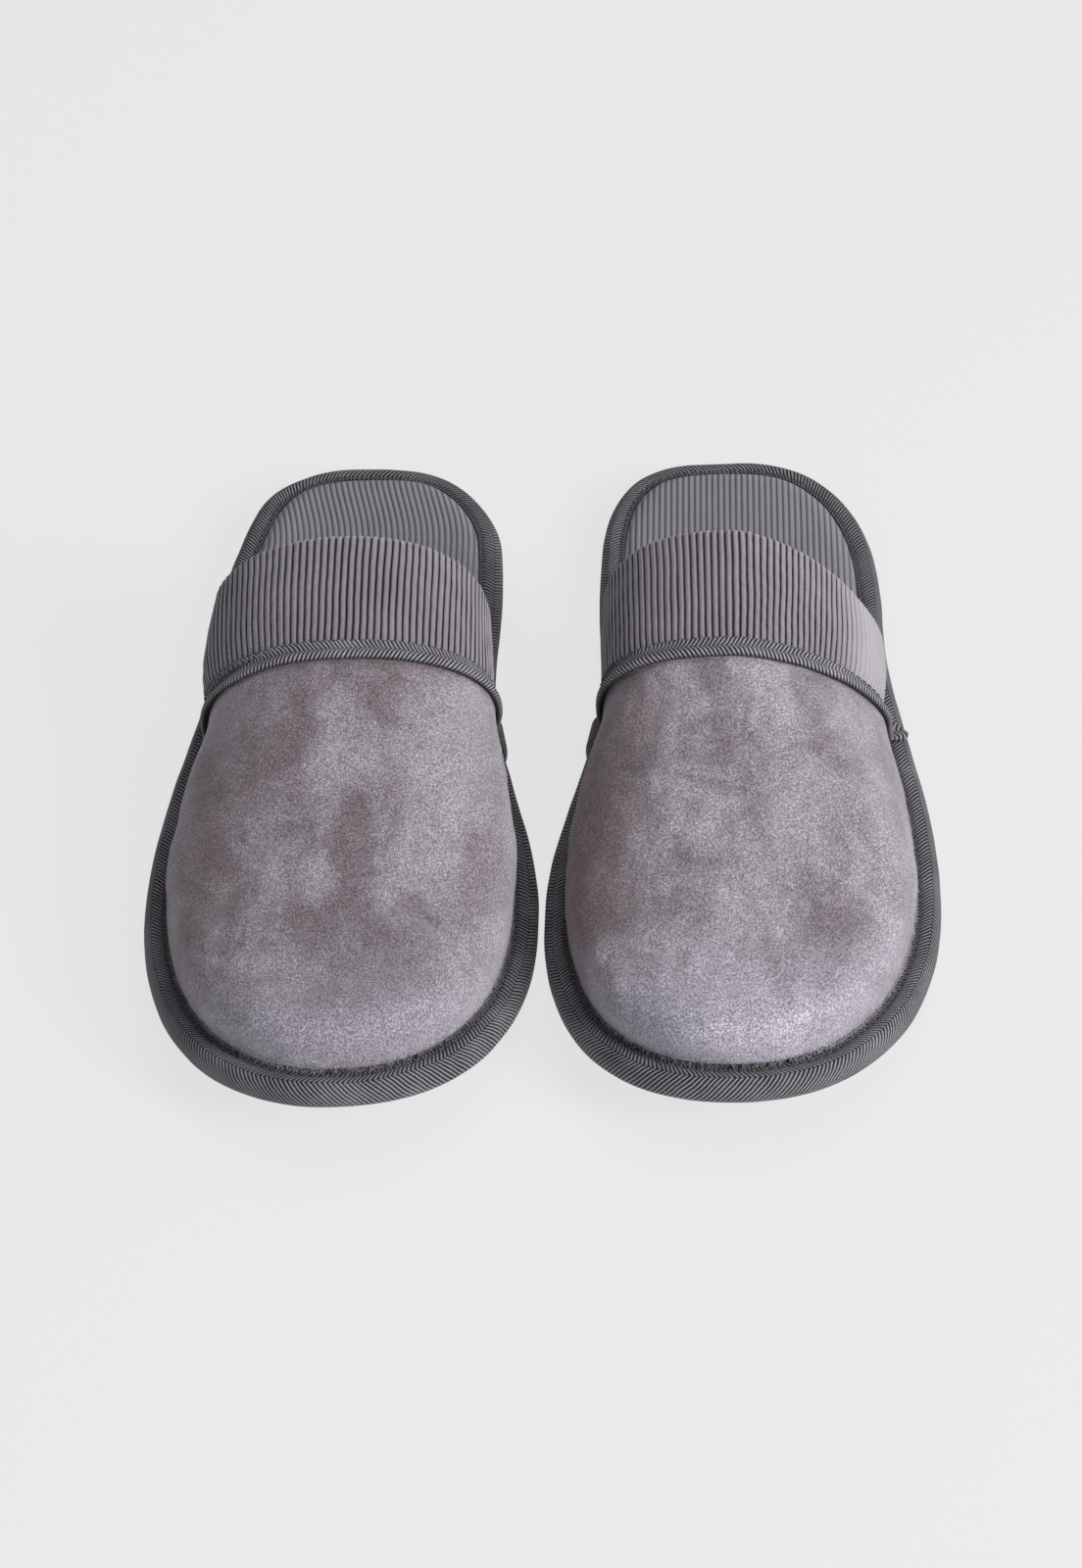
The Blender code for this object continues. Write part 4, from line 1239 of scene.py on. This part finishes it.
def tread_bars():
    """The cutters of the tread: shallow chevrons that taper upwards."""
    half = 0.5 * TREAD_GROOVE
    profile = ((-half, -1.0), (half, -1.0), (0.8 * half, 1.0), (-0.8 * half, 1.0))
    bars, faces = [], []
    for i in range(-1, int(2.0 * HALF_LENGTH / TREAD_PITCH) + 1):
        faces += stack_faces(3, 4, offset=12 * len(bars))
        bars.append(np.zeros((3, 4, 3)))
        for j, u in enumerate((-TREAD_REACH, 0.0, TREAD_REACH)):
            v = -HALF_LENGTH + i * TREAD_PITCH + TREAD_SLOPE * (TREAD_REACH - abs(u))
            bars[-1][j] = [(u, v + dv, z * TREAD_DEPTH) for dv, z in profile]
    return np.concatenate(bars), faces


def build_outsole(place):
    angles, _ = even_angles(OUTSOLE_STATIONS)
    grid = np.zeros((len(OUTSOLE_SECTION), OUTSOLE_STATIONS, 3))
    for k, (inset, z) in enumerate(OUTSOLE_SECTION):
        grid[k, :, :2] = rim(angles, inset)
        grid[k, :, 2] = z
    sole = fix_facing(place.add("rubber_outsole", grid, stack_faces(*grid.shape[:2])))
    cutter = fix_facing(place.add("tread_cutter", *tread_bars(), smooth=False))
    cut = sole.modifiers.new("Tread", "BOOLEAN")
    cut.operation = "DIFFERENCE"
    cut.solver = "EXACT"
    cut.object = cutter
    mesh = bpy.data.meshes.new_from_object(sole.evaluated_get(bpy.context.evaluated_depsgraph_get()))
    sole.modifiers.clear()
    sole.data = mesh
    bpy.data.objects.remove(cutter)
    mesh.shade_smooth()
    mesh.set_sharp_from_angle(angle=math.radians(35.0))


# --- Camera, floor and light ---

CAMERA_TARGET = (-0.0020, 0.0046, 0.0)
CAMERA_DISTANCE = 1.3
CAMERA_ELEVATION = math.radians(41.04)
CAMERA_AZIMUTH = math.radians(-3.47)
CAMERA_ROLL = math.radians(-3.085)
CAMERA_LENS = 107.5
FLOOR_LEVEL = 233
FLOOR_HALF = 20.0
FLOOR_GLOW = 0.88
# Each light's place, size, power and colour.
LIGHTS = {
    "key": ((1.35, -0.9, 0.95), 0.7, 36.0, (1.0, 0.985, 0.975)),
    "front": ((0.35, -1.7, 0.7), 0.9, 9.0, (0.96, 0.97, 1.0)),
    "top": ((0.3, 0.5, 1.6), 1.0, 8.0, (1.0, 1.0, 1.0)),
}
WORLD_COLOUR = (0.93, 0.95, 1.0, 1.0)
WORLD_LEVEL = 0.24


def in_scene(name, data):
    obj = bpy.data.objects.new(name, data)
    bpy.context.scene.collection.objects.link(obj)
    return obj


def add_camera():
    data = bpy.data.cameras.new("camera")
    data.lens = CAMERA_LENS
    data.sensor_fit = "VERTICAL"
    data.sensor_height = 36.0
    data.clip_start = 0.05
    data.clip_end = 80.0
    camera = in_scene("camera", data)
    turn = Matrix.Rotation(-CAMERA_AZIMUTH, 4, "Z")
    turn = turn @ Matrix.Rotation(0.5 * math.pi - CAMERA_ELEVATION, 4, "X")
    turn = turn @ Matrix.Rotation(CAMERA_ROLL, 4, "Z")
    back = Matrix.Translation((0.0, 0.0, CAMERA_DISTANCE))
    camera.matrix_world = Matrix.Translation(CAMERA_TARGET) @ turn @ back
    bpy.context.scene.camera = camera


def add_floor():
    """A pale floor that glows a little, so that it stays even."""
    mesh = bpy.data.meshes.new("floor")
    corners = [(-FLOOR_HALF, -FLOOR_HALF, 0), (FLOOR_HALF, -FLOOR_HALF, 0)]
    corners += [(FLOOR_HALF, FLOOR_HALF, 0), (-FLOOR_HALF, FLOOR_HALF, 0)]
    mesh.from_pydata(corners, [], [(0, 1, 2, 3)])
    floor = in_scene("floor", mesh)
    level = shade((FLOOR_LEVEL,) * 3)
    g = Graph("floor", 0.95, specular=0.0)
    g.fill(g.shader, {"Base Color": level})
    glow = g.node("Emission", {"Color": level}).outputs[0]
    g.blend("Material Output", FLOOR_GLOW, g.shader.outputs["BSDF"], glow)
    mesh.materials.append(g.material)


def add_lights():
    for name, (spot, size, power, colour) in LIGHTS.items():
        data = bpy.data.lights.new(name, "AREA")
        data.shape = "SQUARE"
        data.size = size
        data.energy = power
        data.color = colour
        light = in_scene(name, data)
        light.location = spot
        light.rotation_euler = (-Vector(spot)).to_track_quat("-Z", "Y").to_euler()
    bpy.context.scene.world = studio_world()


def studio_world():
    """Soft light from all round, which the camera sees as a backdrop as pale as the floor."""
    world = bpy.data.worlds.new("studio")
    t = Tree(world)
    light = t.tree.nodes["Background"]
    t.fill(light, {"Color": WORLD_COLOUR, "Strength": WORLD_LEVEL})
    backdrop = t.node("Background", {"Color": shade((FLOOR_LEVEL,) * 3)}).outputs[0]
    seen = t.node("LightPath", {}).outputs["Is Camera Ray"]
    t.blend("World Output", seen, light.outputs[0], backdrop)
    return world


# --- Assembly ---


def main():
    scene = bpy.context.scene
    scene.view_settings.view_transform = "Standard"
    scene.view_settings.look = "None"
    add_camera()
    add_floor()
    add_lights()
    shared = {
        "lining": plain_knit_material(),
        "insole": rib_knit_material("insole_rib", *INSOLE_RIB),
        "tape": twill_material("tape_twill", *TAPE_TWILL),
        "binding": twill_material("binding_twill", *BINDING_TWILL),
        "thread": grain_material(*THREAD, roughness=0.6, sheen=0.2, specular=0.35),
        "rubber": rubber_material(),
        "foam": grain_material(*FOAM, roughness=0.88, specular=0.15),
        "board": grain_material(*BOARD, roughness=0.88, specular=0.15),
    }
    for number, side in enumerate(("right", "left")):
        own = {
            "velour": velour_material(number + 1, *VELOUR[side]),
            "cuff": rib_knit_material("cuff_rib", *CUFF_RIB, LIT_PLAIN_COLOURS[side]),
        }
        place = Place(side, shared | own)
        seed = 11 + 40 * number
        vamp, faces = build_vamp(place, seed)
        build_fringe(place, seed + 5, vamp, faces)
        build_cuff(place, seed + 10)
        build_tape(place, seed + 15)
        build_binding(place, seed + 20)
        build_insole(place, seed + 25)
        build_outsole(place)
        for node, made_of in (("midsole_foam", "foam"), ("insole_board", "board")):
            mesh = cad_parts[f"{side}_{node}"].data
            mesh.materials.clear()
            mesh.materials.append(shared[made_of])


main()
